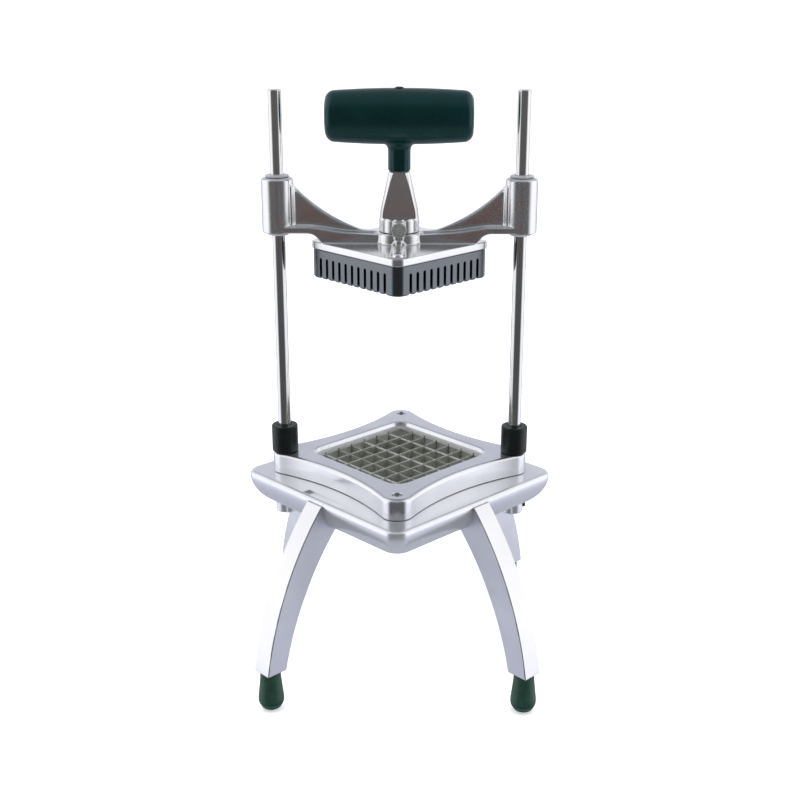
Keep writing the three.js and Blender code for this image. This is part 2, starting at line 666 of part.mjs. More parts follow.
function headGeometry() {
  const plateBottom = PLATE_TOP_Z - PLATE_THICKNESS;
  const joined = [
    prism(squareLoop(PLATE_HALF, PLATE_R), plateBottom, PLATE_TOP_Z),
    cylinder(RING_R, PLATE_TOP_Z - CUT, SPLIT_Z),
    pin(LOCK_PAD_R + CUT, PLATE_TOP_Z - CUT, SPLIT_Z, 0, LOCK_PAD_Y),
    plateRib(),
    plateRib().rotateZ(Math.PI),
  ];
  const cuts = [
    pin(TIE_R + GAP, plateBottom - CUT, SPLIT_Z + CUT),
    cylinder(SPIGOT_R + GAP, SPLIT_Z - SPIGOT_DEPTH - GAP, SPLIT_Z + CUT),
    lockSpotface(),
  ];
  for (const side of [-1, 1]) {
    const turn = side < 0 ? 0 : Math.PI;
    joined.push(armWeb().rotateZ(turn), armRib().rotateZ(turn), bossGeometry(side * ROD_X));
    cuts.push(cylinder(BUSH_R + GAP, BOSS_BOTTOM_Z - CUT, BOSS_TOP_Z + CUT, side * ROD_X));
    cuts.push(pin(DOWEL_R + GAP, plateBottom - CUT, plateBottom + DOWEL_DEPTH + GAP, side * DOWEL_X));
  }
  return build(joined, cuts);
}

// A flanged sleeve with its flange at the bottom.
function bushGeometry(flangeR) {
  const flange = cylinder(flangeR, -BUSH_FLANGE - GAP, -GAP);
  const sleeve = cylinder(BUSH_R, -BUSH_FLANGE, BUSH_LENGTH);
  const bore = cylinder(ROD_R + BUSH_SLIDE_GAP, -BUSH_FLANGE - CUT, BUSH_LENGTH + CUT);
  return build([sleeve, flange], [bore]);
}

addPiece('head_casting', headGeometry(), LOOKS.casting);
for (const [name, side] of [['left', -1], ['right', 1]]) {
  const lower = addPiece(`bushing_lower_${name}`, bushGeometry(BUSH_FLANGE_LOWER_R), LOOKS.nylon);
  lower.position.set(side * ROD_X, 0, BOSS_BOTTOM_Z);
  const upper = addPiece(`bushing_upper_${name}`, bushGeometry(BUSH_FLANGE_UPPER_R), LOOKS.nylon);
  upper.rotation.x = Math.PI;
  upper.position.set(side * ROD_X, 0, BOSS_TOP_Z);
}

// ---------- Handle ----------
function coneGeometry() {
  const foot = SPLIT_Z + GAP;
  const cone = turned([
    [0, foot], [COLLAR_R, foot], [COLLAR_R, COLLAR_TOP_Z - COLLAR_CHAMFER],
    [COLLAR_R - COLLAR_CHAMFER, COLLAR_TOP_Z], [CONE_FOOT_R, COLLAR_TOP_Z + COLLAR_CHAMFER],
    [CONE_BEND.r, CONE_BEND.z], [CONE_TOP_R, CONE_TOP_Z], [0, CONE_TOP_Z],
  ]);
  const lug = turned([
    [0, foot], [LOCK_PAD_R, foot], [LOCK_PAD_R, COLLAR_TOP_Z + LOCK_LUG.foot],
    [LOCK_LUG.shoulderR, COLLAR_TOP_Z + LOCK_LUG.shoulder], [0, COLLAR_TOP_Z + LOCK_LUG.top],
  ], SMALL_SIDES).translate(0, LOCK_PAD_Y + LOCK_LUG.setback, 0);
  const spigot = cylinder(SPIGOT_R, SPLIT_Z - SPIGOT_DEPTH, SPLIT_Z + CUT);
  const pad = pin(LOCK_PAD_R, foot, COLLAR_TOP_Z, 0, LOCK_PAD_Y);
  const face = slab([
    v2(-2 * COLLAR_R, COLLAR_TOP_Z + CUT), v2(-FLAT_Y.bottom, COLLAR_TOP_Z + CUT),
    v2(-FLAT_Y.top, CONE_TOP_Z + CUT), v2(-2 * COLLAR_R, CONE_TOP_Z + CUT),
  ], 4 * COLLAR_R);
  return build([cone, spigot, lug, pad], [
    pin(TIE_R + GAP, SPLIT_Z - SPIGOT_DEPTH - CUT, CONE_TOP_Z + CUT),
    cylinder(CORE_STEM_R + GAP, CONE_TOP_Z - CORE_SPIGOT - GAP, CONE_TOP_Z + CUT),
    laid(pin(LOCK_SHANK_R + GAP, -2 * RING_R, -TIE_R), LOCK_Z),
    lockSpotface(),
    face.clone().rotateZ(QUARTER_TURN),
    face.rotateZ(-QUARTER_TURN),
  ]);
}

addPiece('handle_cone', coneGeometry(), LOOKS.polished);

function coreBody(grow) {
  const barHalf = CORE_BAR_HALF + grow;
  const bar = cylinder(CORE_BAR_R + grow, -barHalf, barHalf).rotateY(QUARTER_TURN).translate(0, 0, GRIP_Z);
  return build([bar, cylinder(CORE_STEM_R + grow, CONE_TOP_Z - CORE_SPIGOT, GRIP_Z)]);
}

function coreGeometry() {
  const seatZ = CORE_TOP_Z - TIE_SEAT;
  return build([coreBody(0)], [
    pin(TIE_R + GAP, CONE_TOP_Z - CORE_SPIGOT - CUT, seatZ + CUT),
    pin(TIE_HEAD_R + GAP, seatZ, CORE_TOP_Z + CUT),
  ]);
}

// The grip's bar is an oval that swells slightly in the middle, with rounded ends.
function gripGeometry() {
  const straight = GRIP_HALF_LENGTH - GRIP_END_ROUND;
  const half = arc(0, 0, 1, 0, QUARTER_TURN * 0.94, 4).reverse().map((point) => [
    straight + GRIP_END_ROUND * point.y, GRIP_END_SCALE - (1 - point.x) * GRIP_END_DROP,
  ]);
  for (const part of [0.7, 0.35]) half.push([straight * part, 1 - (1 - GRIP_END_SCALE) * part ** 2]);
  const mirrored = half.map(([along, scale]) => [-along, scale]);
  const stations = [...mirrored, [0, 1], ...half.reverse()];
  const rings = stations.map(([along, scale]) => {
    const loop = arc(0, 0, scale, 0, 4 * QUARTER_TURN, SIDES).slice(0, -1);
    const oval = loop.map((point) => v2(point.x * GRIP_HALF_HEIGHT, point.y * GRIP_HALF_DEPTH));
    return [oval, along];
  });
  const bar = loft(rings).rotateY(QUARTER_TURN).translate(0, 0, GRIP_Z);
  const under = GRIP_Z - GRIP_HALF_HEIGHT;
  const flare = STEM_FLARE.map(([gain, height]) => [STEM_R + gain, under + height]);
  const flareR = flare[flare.length - 1][0];
  const stem = turned([
    [0, STEM_BOTTOM_Z], [STEM_R, STEM_BOTTOM_Z], ...flare, [flareR, GRIP_Z], [0, GRIP_Z],
  ]);
  return build([bar, stem], [coreBody(GAP), pin(TIE_HEAD_R + GAP, GRIP_Z, GRIP_Z + 2 * GRIP_HALF_HEIGHT)]);
}

function tieBoltGeometry() {
  const bottom = PUSHER_TOP_Z - NUT_HEIGHT;
  const headBottom = CORE_TOP_Z - TIE_SEAT + GAP;
  const { width, height } = TIE_HEAD_CROWN;
  return turned([
    [0, bottom], [TIE_R, bottom], [TIE_R, headBottom], [TIE_HEAD_R, headBottom],
    [TIE_HEAD_R, TIE_TOP_Z - height], [TIE_HEAD_R - width, TIE_TOP_Z], [0, TIE_TOP_Z],
  ], SMALL_SIDES);
}

function lockScrewGeometry() {
  const seat = LOCK_PAD_Y - LOCK_PAD_R - GAP;
  const face = seat - LOCK_HEAD;
  const groove = tube(LOCK_FACE_R, LOCK_HEAD_R - LOCK_RIM, face - CUT, face + LOCK_GROOVE);
  const shank = pin(LOCK_SHANK_R, face + CUT, -CORE_STEM_R);
  return laid(build([cylinder(LOCK_HEAD_R, face, seat), shank], [groove]), LOCK_Z);
}

addPiece('handle_core', coreGeometry(), LOOKS.stainless);
addPiece('grip', gripGeometry(), LOOKS.greenVinyl);
addPiece('tie_bolt', tieBoltGeometry(), LOOKS.blackSteel);
addPiece('handle_lock_screw', lockScrewGeometry(), LOOKS.stainless);

// ---------- Pusher block ----------
function pusherGeometry() {
  const solidBottom = PUSHER_TOP_Z - PUSHER_SOLID;
  const fingerTip = solidBottom - FINGER_LENGTH;
  const outline = squareLoop(PUSHER_HALF, PUSHER_R, 2);
  const cuts = [hexagon(NUT_R + GAP, PUSHER_TOP_Z - NUT_HEIGHT - GAP, PUSHER_TOP_Z + CUT)];
  const reach = PUSHER_HALF + CUT;
  for (let i = 0; i < SLOTS; i += 1) {
    const offset = (i - (SLOTS - 1) / 2) * SLOT_PITCH;
    const slot = block([-reach, reach], SLOT_WIDTH, [fingerTip - CUT, solidBottom]).translate(0, offset, 0);
    cuts.push(slot.clone().rotateZ(QUARTER_TURN), slot);
  }
  for (const side of [-1, 1]) {
    const hole = pin(DOWEL_R + GAP, PUSHER_TOP_Z - DOWEL_DEPTH - GAP, PUSHER_TOP_Z + CUT, side * DOWEL_X);
    cuts.push(hole.rotateZ(-EIGHTH_TURN));
  }
  return build([prism(outline, fingerTip, PUSHER_TOP_Z).rotateZ(-EIGHTH_TURN)], cuts);
}

function nutGeometry() {
  const bottom = PUSHER_TOP_Z - NUT_HEIGHT;
  const thread = pin(TIE_R + GAP, bottom - CUT, PUSHER_TOP_Z);
  return build([hexagon(NUT_R, bottom, PUSHER_TOP_Z - GAP)], [thread]);
}

addPiece('pusher_block', pusherGeometry(), LOOKS.greyPlastic, turnedGroup);
addPiece('pusher_nut', nutGeometry(), LOOKS.stainless, turnedGroup);
for (const [name, side] of [['left', -1], ['right', 1]]) {
  const dowel = pin(DOWEL_R, PUSHER_TOP_Z - DOWEL_DEPTH, PUSHER_TOP_Z + GAP + DOWEL_DEPTH, side * DOWEL_X);
  addPiece(`pusher_dowel_${name}`, dowel, LOOKS.stainless);
}

export default dicer;
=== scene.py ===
"""Vegetable dicer: the visual model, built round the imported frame."""

import math

import bmesh
import bpy
from mathutils import Matrix, Vector


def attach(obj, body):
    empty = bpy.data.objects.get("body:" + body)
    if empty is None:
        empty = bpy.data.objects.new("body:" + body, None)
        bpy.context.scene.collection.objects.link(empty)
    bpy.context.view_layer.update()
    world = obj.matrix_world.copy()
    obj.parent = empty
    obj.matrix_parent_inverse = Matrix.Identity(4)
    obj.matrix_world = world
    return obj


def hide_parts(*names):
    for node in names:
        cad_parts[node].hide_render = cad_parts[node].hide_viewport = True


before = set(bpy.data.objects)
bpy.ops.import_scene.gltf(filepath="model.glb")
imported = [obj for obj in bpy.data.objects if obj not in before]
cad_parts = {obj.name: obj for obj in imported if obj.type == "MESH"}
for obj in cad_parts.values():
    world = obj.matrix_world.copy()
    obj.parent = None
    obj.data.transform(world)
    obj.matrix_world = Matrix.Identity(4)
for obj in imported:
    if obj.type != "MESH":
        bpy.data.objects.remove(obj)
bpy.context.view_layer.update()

MM = 0.001
QUARTER = math.pi / 2
EIGHTH = math.pi / 4
GAP = 0.3

# ---------- Dimensions in millimetres, as in the CAD source ----------
CELL = 12.7
CELLS = 7
OPENING_HALF = CELL * CELLS / 2
OPENING_R = 8.5
BLADE_THICKNESS = 0.8
BLADE_REACH = OPENING_HALF + 3
BLADE_HEIGHT = 9.4
BLADE_BEVEL = 1.5
BLADE_CLEARANCE = 0.15
CROSSINGS = [(i + 1) * CELL - OPENING_HALF for i in range(CELLS - 1)]
DECK_Z = 144
DECK_THICKNESS = 5
BASE_HALF, BASE_R, BASE_WALL = 80, 11, 4
RIM_ROUND = 3
SKIRT_DEPTH, SKIRT_SWEEP, SKIRT_FALL = 22, 20, 21.6
CHUTE_HALF, CHUTE_WALL, CHUTE_DEPTH = 45.2, 3.5, 20
COVER_TOP = DECK_Z + 15
COVER_TIP, COVER_WAIST, COVER_R, COVER_ROUND = 91.2, 58.8, 11, 3
COVER_SCREW_Y = 80.5
UPPER_BLADE_TOP, LOWER_BLADE_TOP = COVER_TOP - 6.2, COVER_TOP - 7
CASSETTE_HALF, CASSETTE_R = 50.6, 4
ROD_X, ROD_R, ROD_TOP = 82.5, 4.5, 413.9
SOCKET_R, SOCKET_BOTTOM, SET_SCREW_Z = 8, 112.4, 117.6
BUMPER_R, BUMPER_HEIGHT = 9.35, 19.7
LEG_HALF_WIDTH = 7.7
LEG_BOTTOM, LEG_TOP = 29.2, DECK_Z - 2.3
LEG_BOLT_R, FOOT_R = 54, 124
LEG_TAB, LEG_TAB_DEPTH = LEG_TOP - 3, 8
LEG_TAB_INNER, LEG_TAB_OUTER = 50, 70
LEG_PLAY = 0.06
BOSS_R, BOSS_BOTTOM, BOSS_TOP = 11, 318.8, 356.2
PLATE_TOP, PLATE_THICKNESS, PLATE_HALF, PLATE_R = 313.1, 5, 44.5, 7
RIB_BOTTOM, RIB_TOP, RIB_HALF = 319.3, 323.8, 10.4
ARM_X, ARM_Z, ARM_R = 12.9, 429.5, 115.2
SPLIT_Z = 319.9
RING_R, COLLAR_R, COLLAR_TOP = 17.6, 13.8, 328.7
CONE_TOP, CONE_TOP_R = 360.3, 7.2
TIE_HOLE_R, CORE_BORE_R = 3.3, 5.5
STEM_R, GRIP_Z, GRIP_HALF_LENGTH = 7.6, 396.5, 49.3
GRIP_HALF_HEIGHT, GRIP_HALF_DEPTH = 18.4, 17.4
TIE_TOP, TIE_SEAT = 415.6, 403.8
LOCK_Z, LOCK_SEAT = 323.5, -17.5
PUSHER_HALF, PUSHER_R = 43.7, 7
DOWEL_X, DOWEL_HOLE_R = 30, 2.8
PUSHER_TOP = PLATE_TOP - PLATE_THICKNESS - GAP
SLOT_TOP, FINGER_TIP = PUSHER_TOP - 5.1, PUSHER_TOP - 19.8
SLOTS, SLOT_WIDTH = 11, 2.5


# ---------- Outlines ----------
def arc(cx, cy, radius, start, end, steps):
    """Points round (cx, cy) from the angle start to the angle end, both included."""
    return [
        (
            cx + radius * math.cos(start + (end - start) * i / steps),
            cy + radius * math.sin(start + (end - start) * i / steps),
        )
        for i in range(steps + 1)
    ]


def rounded(points, closed=False, steps=5):
    """A line through (x, y) or (x, y, corner radius) points, with those corners turned into arcs."""
    line = []
    for i, point in enumerate(points):
        here = Vector(point[:2])
        if len(point) < 3 or (not closed and i in (0, len(points) - 1)):
            line.append(tuple(here))
            continue
        back = Vector(points[i - 1][:2]) - here
        ahead = Vector(points[(i + 1) % len(points)][:2]) - here
        half = back.angle(ahead) / 2
        reach = min(point[2] / math.tan(half), back.length / 2, ahead.length / 2)
        radius = reach * math.tan(half)
        middle = (back.normalized() + ahead.normalized()).normalized()
        centre = here + middle * radius / math.sin(half)
        first = here + back.normalized() * reach - centre
        last = here + ahead.normalized() * reach - centre
        start = math.atan2(first.y, first.x)
        sweep = (math.atan2(last.y, last.x) - start + math.pi) % math.tau - math.pi
        line += arc(centre.x, centre.y, radius, start, start + sweep, steps)
    return line


def square_loop(half, radius, steps=10):
    """A rounded square whose corners lie on X and Y."""
    loop = []
    centre = (half - radius) * math.sqrt(2)
    for corner in range(4):
        angle = corner * QUARTER
        x, y = centre * math.cos(angle), centre * math.sin(angle)
        loop += arc(x, y, radius, angle - EIGHTH, angle + EIGHTH, steps)
    return loop


def cover_loop(inset):
    """The cover's outline: four round tips on X and Y joined by four hollow sides."""
    tip, waist, root = COVER_TIP - COVER_R, COVER_WAIST, math.sqrt(2)
    side_r = waist**2 - root * tip * waist + tip**2 - COVER_R**2
    side_r /= 2 * COVER_R + root * tip - 2 * waist
    side = (waist + side_r) / root
    bend = math.atan2(side, side - tip)
    loop = []
    for corner in range(4):
        angle = corner * QUARTER
        part = arc(tip, 0, COVER_R - inset, -bend, bend, 14)
        part += arc(side, side, side_r + inset, math.pi + bend, 1.5 * math.pi - bend, 28)[1:-1]
        for x, y in part:
            along = x * math.cos(angle) - y * math.sin(angle)
            across = x * math.sin(angle) + y * math.cos(angle)
            loop.append((along, across))
    return loop


# ---------- Meshes ----------
def make(name, points, faces):
    """A mesh object from points in millimetres, with its faces turned outwards."""
    mesh = bpy.data.meshes.new(name)
    mesh.from_pydata([(x * MM, y * MM, z * MM) for x, y, z in points], [], faces)
    work = bmesh.new()
    work.from_mesh(mesh)
    bmesh.ops.recalc_face_normals(work, faces=work.faces)
    work.to_mesh(mesh)
    work.free()
    obj = bpy.data.objects.new(name, mesh)
    bpy.context.scene.collection.objects.link(obj)
    return obj


def loft(rings):
    """Skins closed rings of (x, y, z) points and caps both ends. A ring of one point is a pole."""
    points, faces, starts = [], [], []
    for ring in rings:
        starts.append(len(points))
        points += ring
    for a, b in zip(range(len(rings) - 1), range(1, len(rings))):
        sides = max(len(rings[a]), len(rings[b]))
        for i in range(sides):
            j = (i + 1) % sides
            low = [starts[a]] if len(rings[a]) == 1 else [starts[a] + i, starts[a] + j]
            high = [starts[b]] if len(rings[b]) == 1 else [starts[b] + j, starts[b] + i]
            faces.append(low + high)
    for k in (0, -1):
        if len(rings[k]) > 1:
            faces.append(list(range(starts[k], starts[k] + len(rings[k]))))
    return make("part", points, faces)


def stack(sections):
    """Outlines in X and Y, each at its own height."""
    return loft([[(x, y, z) for x, y in outline] for outline, z in sections])


def lathe(profile, x=0, y=0, sides=72):
    """Turns (radius, height) pairs about an upright axis at x and y."""
    rings = []
    for radius, z in profile:
        if radius < 1e-6:
            rings.append([(x, y, z)])
            continue
        rings.append([(x + px, y + py, z) for px, py in arc(0, 0, radius, 0, math.tau, sides)[:-1]])
    return loft(rings)


def ring(section, x=0):
    """Turns a closed section of (radius, height) pairs about an upright axis at x."""
    points, faces, count, sides = [], [], len(section), 72
    for i in range(sides):
        angle = math.tau * i / sides
        points += [(x + r * math.cos(angle), r * math.sin(angle), z) for r, z in section]
        for k in range(count):
            here, ahead = i * count, (i + 1) % sides * count
            above = (k + 1) % count
            faces.append((here + k, here + above, ahead + above, ahead + k))
    return make("part", points, faces)


def rod(radius, low, high, x=0, y=0, sides=48):
    """An upright cylinder, or a prism when it has few sides."""
    return lathe([(0, low), (radius, low), (radius, high), (0, high)], x, y, sides)


def slab(outline, half):
    """An outline in X and Z, extruded to both sides of Y = 0."""
    return loft([[(x, y, z) for x, z in outline] for y in (-half, half)])


def block(x, y, z):
    """A box between the two values given for each axis."""
    outline = [(x[0], y[0]), (x[1], y[0]), (x[1], y[1]), (x[0], y[1])]
    return stack([(outline, level) for level in z])


def turn(obj, angle, axis="Z"):
    obj.data.transform(Matrix.Rotation(angle, 4, axis))
    return obj


def shift(obj, x=0, y=0, z=0):
    obj.data.transform(Matrix.Translation(Vector((x, y, z)) * MM))
    return obj


def apply(obj):
    """Turns the modifiers' result into the object's own mesh."""
    bpy.context.view_layer.update()
    graph = bpy.context.evaluated_depsgraph_get()
    mesh = bpy.data.meshes.new_from_object(obj.evaluated_get(graph))
    obj.modifiers.clear()
    obj.data = mesh
    return obj


def boolean(obj, tools, operation):
    for tool in tools:
        modifier = obj.modifiers.new("boolean", "BOOLEAN")
        modifier.solver = "MANIFOLD"
        modifier.operation = operation
        modifier.object = tool
    apply(obj)
    for tool in tools:
        bpy.data.objects.remove(tool)
    return obj


def join(obj, *tools):
    return boolean(obj, tools, "UNION")


def cut(obj, *tools):
    return boolean(obj, tools, "DIFFERENCE")


def merge(parts):
    """Several closed meshes in one, still overlapping, ready for fuse."""
    work = bmesh.new()
    for part in parts:
        work.from_mesh(part.data)
    mesh = bpy.data.meshes.new("merged")
    work.to_mesh(mesh)
    work.free()
    for part in parts[1:]:
        bpy.data.objects.remove(part)
    parts[0].data = mesh
    return parts[0]


def fuse(parts, voxel, relax):
    """Blends overlapping solids into one skin with small cast fillets."""
    obj = merge(parts)
    remesh = obj.modifiers.new("remesh", "REMESH")
    remesh.mode = "VOXEL"
    remesh.voxel_size = voxel * MM
    smooth = obj.modifiers.new("smooth", "SMOOTH")
    smooth.factor = 0.5
    smooth.iterations = relax
    return apply(obj)


def bevel(obj, width):
    """Rounds every edge that turns by more than 40 degrees."""
    modifier = obj.modifiers.new("bevel", "BEVEL")
    modifier.width = width * MM
    modifier.segments = 3
    modifier.limit_method = "ANGLE"
    modifier.angle_limit = math.radians(40)
    return apply(obj)


def shade(obj, angle):
    """Shades smooth, with edges that turn by more than angle degrees kept sharp."""
    for face in obj.data.polygons:
        face.use_smooth = True
    obj.data.set_sharp_from_angle(angle=math.radians(angle))
    modifier = obj.modifiers.new("normals", "WEIGHTED_NORMAL")
    modifier.keep_sharp = True
    return obj


def place(obj, node, body, look, angle=30):
    """Names a finished piece, gives it its material and puts it in place of its CAD node."""
    obj.name = obj.data.name = f"{node}_look"
    shade(obj, angle)
    obj.data.materials.clear()
    obj.data.materials.append(look)
    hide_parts(node)
    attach(obj, body)


# ---------- Materials ----------
def scaled(colour, factor):
    return tuple(part * factor for part in colour)


class Look:
    """A material whose nodes read only the piece's own coordinates."""

    def __init__(self, name, colour, metallic, roughness, **sockets):
        self.material = bpy.data.materials.new(name)
        self.material.use_nodes = True
        self.tree = self.material.node_tree
        self.shader = self.tree.nodes["Principled BSDF"]
        self.shader.inputs["Base Color"].default_value = (*colour, 1)
        self.shader.inputs["Metallic"].default_value = metallic
        self.shader.inputs["Roughness"].default_value = roughness
        for socket, value in sockets.items():
            self.shader.inputs[socket.replace("_", " ")].default_value = value
        self.coordinates = self.tree.nodes.new("ShaderNodeTexCoord").outputs["Object"]
        self.height = None

    def add(self, kind, **inputs):
        """A new node whose inputs are set or linked by name."""
        node = self.tree.nodes.new(kind)
        for key, value in inputs.items():
            self.put(node.inputs[key.replace("_", " ")], value)
        return node

    def put(self, socket, value):
        if isinstance(value, bpy.types.NodeSocket):
            self.tree.links.new(value, socket)
        else:
            socket.default_value = value

    def noise(self, size, detail=2, stretch=(1, 1, 1)):
        """Noise whose features are about size millimetres across."""
        mapping = self.add("ShaderNodeMapping", Vector=self.coordinates, Scale=stretch)
        scale = 1 / (size * MM)
        noise = self.add("ShaderNodeTexNoise", Vector=mapping.outputs[0], Scale=scale, Detail=detail)
        return noise.outputs[0]

    def spread(self, value, low, high, start=0.3, end=0.7):
        """Maps start to end onto low to high. By default, start to end is the range of the noise."""
        node = self.add("ShaderNodeMapRange", Value=value, From_Min=start, From_Max=end)
        self.put(node.inputs["To Min"], low)
        self.put(node.inputs["To Max"], high)
        return node.outputs[0]

    def tint(self, factor, first, second):
        """Mixes two colours, each a fixed one or a socket."""
        node = self.tree.nodes.new("ShaderNodeMix")
        node.data_type = "RGBA"
        self.put(node.inputs[0], factor)
        for index, value in ((6, first), (7, second)):
            self.put(node.inputs[index], value if isinstance(value, bpy.types.NodeSocket) else (*value, 1))
        return node.outputs[2]

    def blotches(self, size, detail, first, second):
        """Colours the piece in soft patches of two fixed colours."""
        self.colour(self.tint(self.spread(self.noise(size, detail), 0, 1), first, second))

    def maths(self, kind, first, second=0.0):
        node = self.tree.nodes.new("ShaderNodeMath")
        node.operation = kind
        self.put(node.inputs[0], first)
        self.put(node.inputs[1], second)
        return node.outputs[0]

    def axes(self):
        """The piece's own X, Y and Z."""
        return self.add("ShaderNodeSeparateXYZ", Vector=self.coordinates).outputs

    def colour(self, value):
        self.put(self.shader.inputs["Base Color"], value)

    def roughness(self, value):
        self.put(self.shader.inputs["Roughness"], value)

    def bump(self, value, depth):
        """Stacks a bump of depth millimetres on those before it."""
        node = self.add("ShaderNodeBump", Height=value, Distance=depth * MM, Strength=1.0)
        if self.height is not None:
            self.put(node.inputs["Normal"], self.height)
        self.height = node.outputs[0]
        self.put(self.shader.inputs["Normal"], self.height)


def cast_metal(name, colour, roughness, grain=0.003, metallic=1.0):
    """Satin cast aluminium: faint cloudy patches, fine grain and a slightly uneven polish."""
    look = Look(name, colour, metallic, roughness)
    cloud = look.spread(look.noise(24, 3), 0, 1)
    tone = look.tint(cloud, scaled(colour, 0.95), colour)
    speck = look.spread(look.noise(0.9, 2), 0, 0.12, 0.5, 0.8)
    look.colour(look.tint(speck, tone, scaled(colour, 0.8)))
    look.roughness(look.spread(look.noise(12, 2), roughness - 0.02, roughness + 0.03))
    look.bump(look.noise(1.1, 2), grain)
    look.bump(look.noise(16, 1), grain * 4)
    return look.material


def leg_metal_with_painted_shade():
    """The legs' metal: smooth outside and inside; rougher on the two flat sides, which are also coloured
    darker as painted shade.
    """
    # The second colour is painted shade: the two flat sides are coloured darker.
    smooth, shaded_rough_side = (0.85, 0.85, 0.87), (0.73, 0.75, 0.79)
    flat_side = (LEG_HALF_WIDTH - 0.1) * math.sqrt(2)
    look = Look("leg_aluminium", smooth, 1.0, 0.25)
    x, y, _ = look.axes()
    across = look.maths("SUBTRACT", look.maths("ABSOLUTE", x), look.maths("ABSOLUTE", y))
    side = look.spread(look.maths("ABSOLUTE", across), 0, 1, flat_side * MM, (flat_side + 0.1) * MM)
    cloud = look.spread(look.noise(30, 3), 0, 1)
    smooth_tone = look.tint(cloud, scaled(smooth, 0.95), smooth)
    shaded_rough_tone = look.tint(cloud, scaled(shaded_rough_side, 0.9), shaded_rough_side)
    # Painted shade: darker colour on the two flat sides, which are also rougher.
    look.colour(look.tint(side, smooth_tone, shaded_rough_tone))
    look.roughness(look.spread(side, 0.25, 0.36, 0, 1))
    look.bump(look.noise(1.1, 3), 0.006)
    return look.material


def polished_metal(name, colour, roughness, stretch, line=0.12):
    """Ground and polished metal with fine lines; stretch flattens them along the tool's path."""
    look = Look(name, colour, 1.0, roughness)
    lines = look.noise(line, 2, stretch)
    look.colour(look.tint(look.spread(lines, 0, 1), scaled(colour, 0.93), colour))
    look.roughness(look.spread(lines, roughness * 0.75, roughness * 1.35))
    look.bump(lines, 0.0012)
    return look.material


def hammered_steel():
    """Bright steel with a pecked surface that scatters the light."""
    look = Look("lock_screw_steel", (0.8, 0.81, 0.8), 0.6, 0.3)
    pecks = look.noise(1.1, 2)
    look.colour(look.tint(look.spread(pecks, 0, 1), (0.42, 0.44, 0.41), (0.74, 0.76, 0.73)))
    look.roughness(look.spread(pecks, 0.42, 0.24))
    look.bump(pecks, 0.3)
    return look.material


def cover_metal():
    """The cover's satin finish outside; inside the opening a dull, rougher cast wall, painted near-white and
    almost without metal as painted light.
    """
    bright, dull = (0.83, 0.835, 0.87), (0.95, 0.96, 0.97)
    look = Look("cover_aluminium", bright, 1.0, 0.2)
    x, y, z = look.axes()
    out = look.maths("ADD", look.maths("ABSOLUTE", x), look.maths("ABSOLUTE", y))
    reach = (OPENING_HALF + 0.5) * math.sqrt(2)
    below = look.spread(z, 1, 0, (COVER_TOP - 3) * MM, (COVER_TOP - 2.5) * MM)
    near = look.spread(out, 1, 0, (reach - 0.4) * MM, reach * MM)
    inside = look.maths("MULTIPLY", near, below)
    cloud = look.spread(look.noise(24, 3), 0, 1)
    # Painted light: the opening's wall below the rolled edge is near-white and barely metallic.
    look.colour(look.tint(inside, look.tint(cloud, scaled(bright, 0.92), bright), dull))
    look.put(look.shader.inputs["Metallic"], look.spread(inside, 0.97, 0.1, 0, 1))
    grain = look.spread(look.noise(12, 2), -0.02, 0.03)
    look.roughness(look.maths("ADD", look.spread(inside, 0.21, 0.4, 0, 1), grain))
    look.bump(look.noise(1.1, 2), 0.002)
    look.bump(look.noise(16, 1), 0.008)
    return look.material


def blade_metal(name, top, edge, width):
    """Grey drawn steel, darker lower down as painted shade, with a painted highlight along its ground top
    edge of the given width.
    """
    low, high = (0.4, 0.41, 0.36), (0.62, 0.63, 0.57)
    look = Look(name, high, 0.8, 0.28)
    z = look.axes()[2]
    # Painted highlight: the top band of the given width is lighter and less metallic.
    ground = look.spread(z, 0, 1, (top - width) * MM, (top - width + 0.1) * MM)
    # Painted shade: the blade is darker lower down, between the other blades.
    tone = look.tint(look.spread(z, 0, 1, (top - 6) * MM, (top - 1) * MM), low, high)
    tone = look.tint(look.spread(look.noise(7, 2), 0, 0.3), tone, low)
    look.colour(look.tint(ground, tone, edge))
    look.put(look.shader.inputs["Metallic"], look.spread(ground, 0.8, 0.3, 0, 1))
    look.roughness(look.spread(look.noise(2, 2), 0.26, 0.34))
    look.bump(look.noise(4, 1), 0.004)
    return look.material


def cassette_metal():
    """The cassette's casting: pale above the blades as painted light, darker in uneven patches beside them
    as painted shade.
    """
    look = Look("cassette_aluminium", (0.9, 0.9, 0.9), 0.3, 0.4)
    low = look.spread(look.axes()[2], 1, 0, (COVER_TOP - 6.8) * MM, (COVER_TOP - 6.5) * MM)
    patches = look.spread(look.noise(6, 3), 0, 1)
    dark = look.tint(patches, (0.34, 0.36, 0.32), (0.5, 0.52, 0.47))
    # Painted light above the blade tops, painted shade below them.
    look.colour(look.tint(low, (0.93, 0.94, 0.95), dark))
    look.roughness(look.spread(look.noise(3, 2), 0.36, 0.46))
    look.bump(look.noise(1.1, 2), 0.006)
    return look.material


def rubber(name, colour, roughness, grain):
    """Dull rubber with faint uneven patches and a fine grain."""
    look = Look(name, colour, 0.0, roughness, Specular_IOR_Level=0.45)
    look.blotches(5, 3, scaled(colour, 0.75), scaled(colour, 1.2))
    look.roughness(look.spread(look.noise(2, 3), roughness - 0.06, roughness + 0.08))
    look.bump(look.noise(0.5, 3), grain)
    return look.material


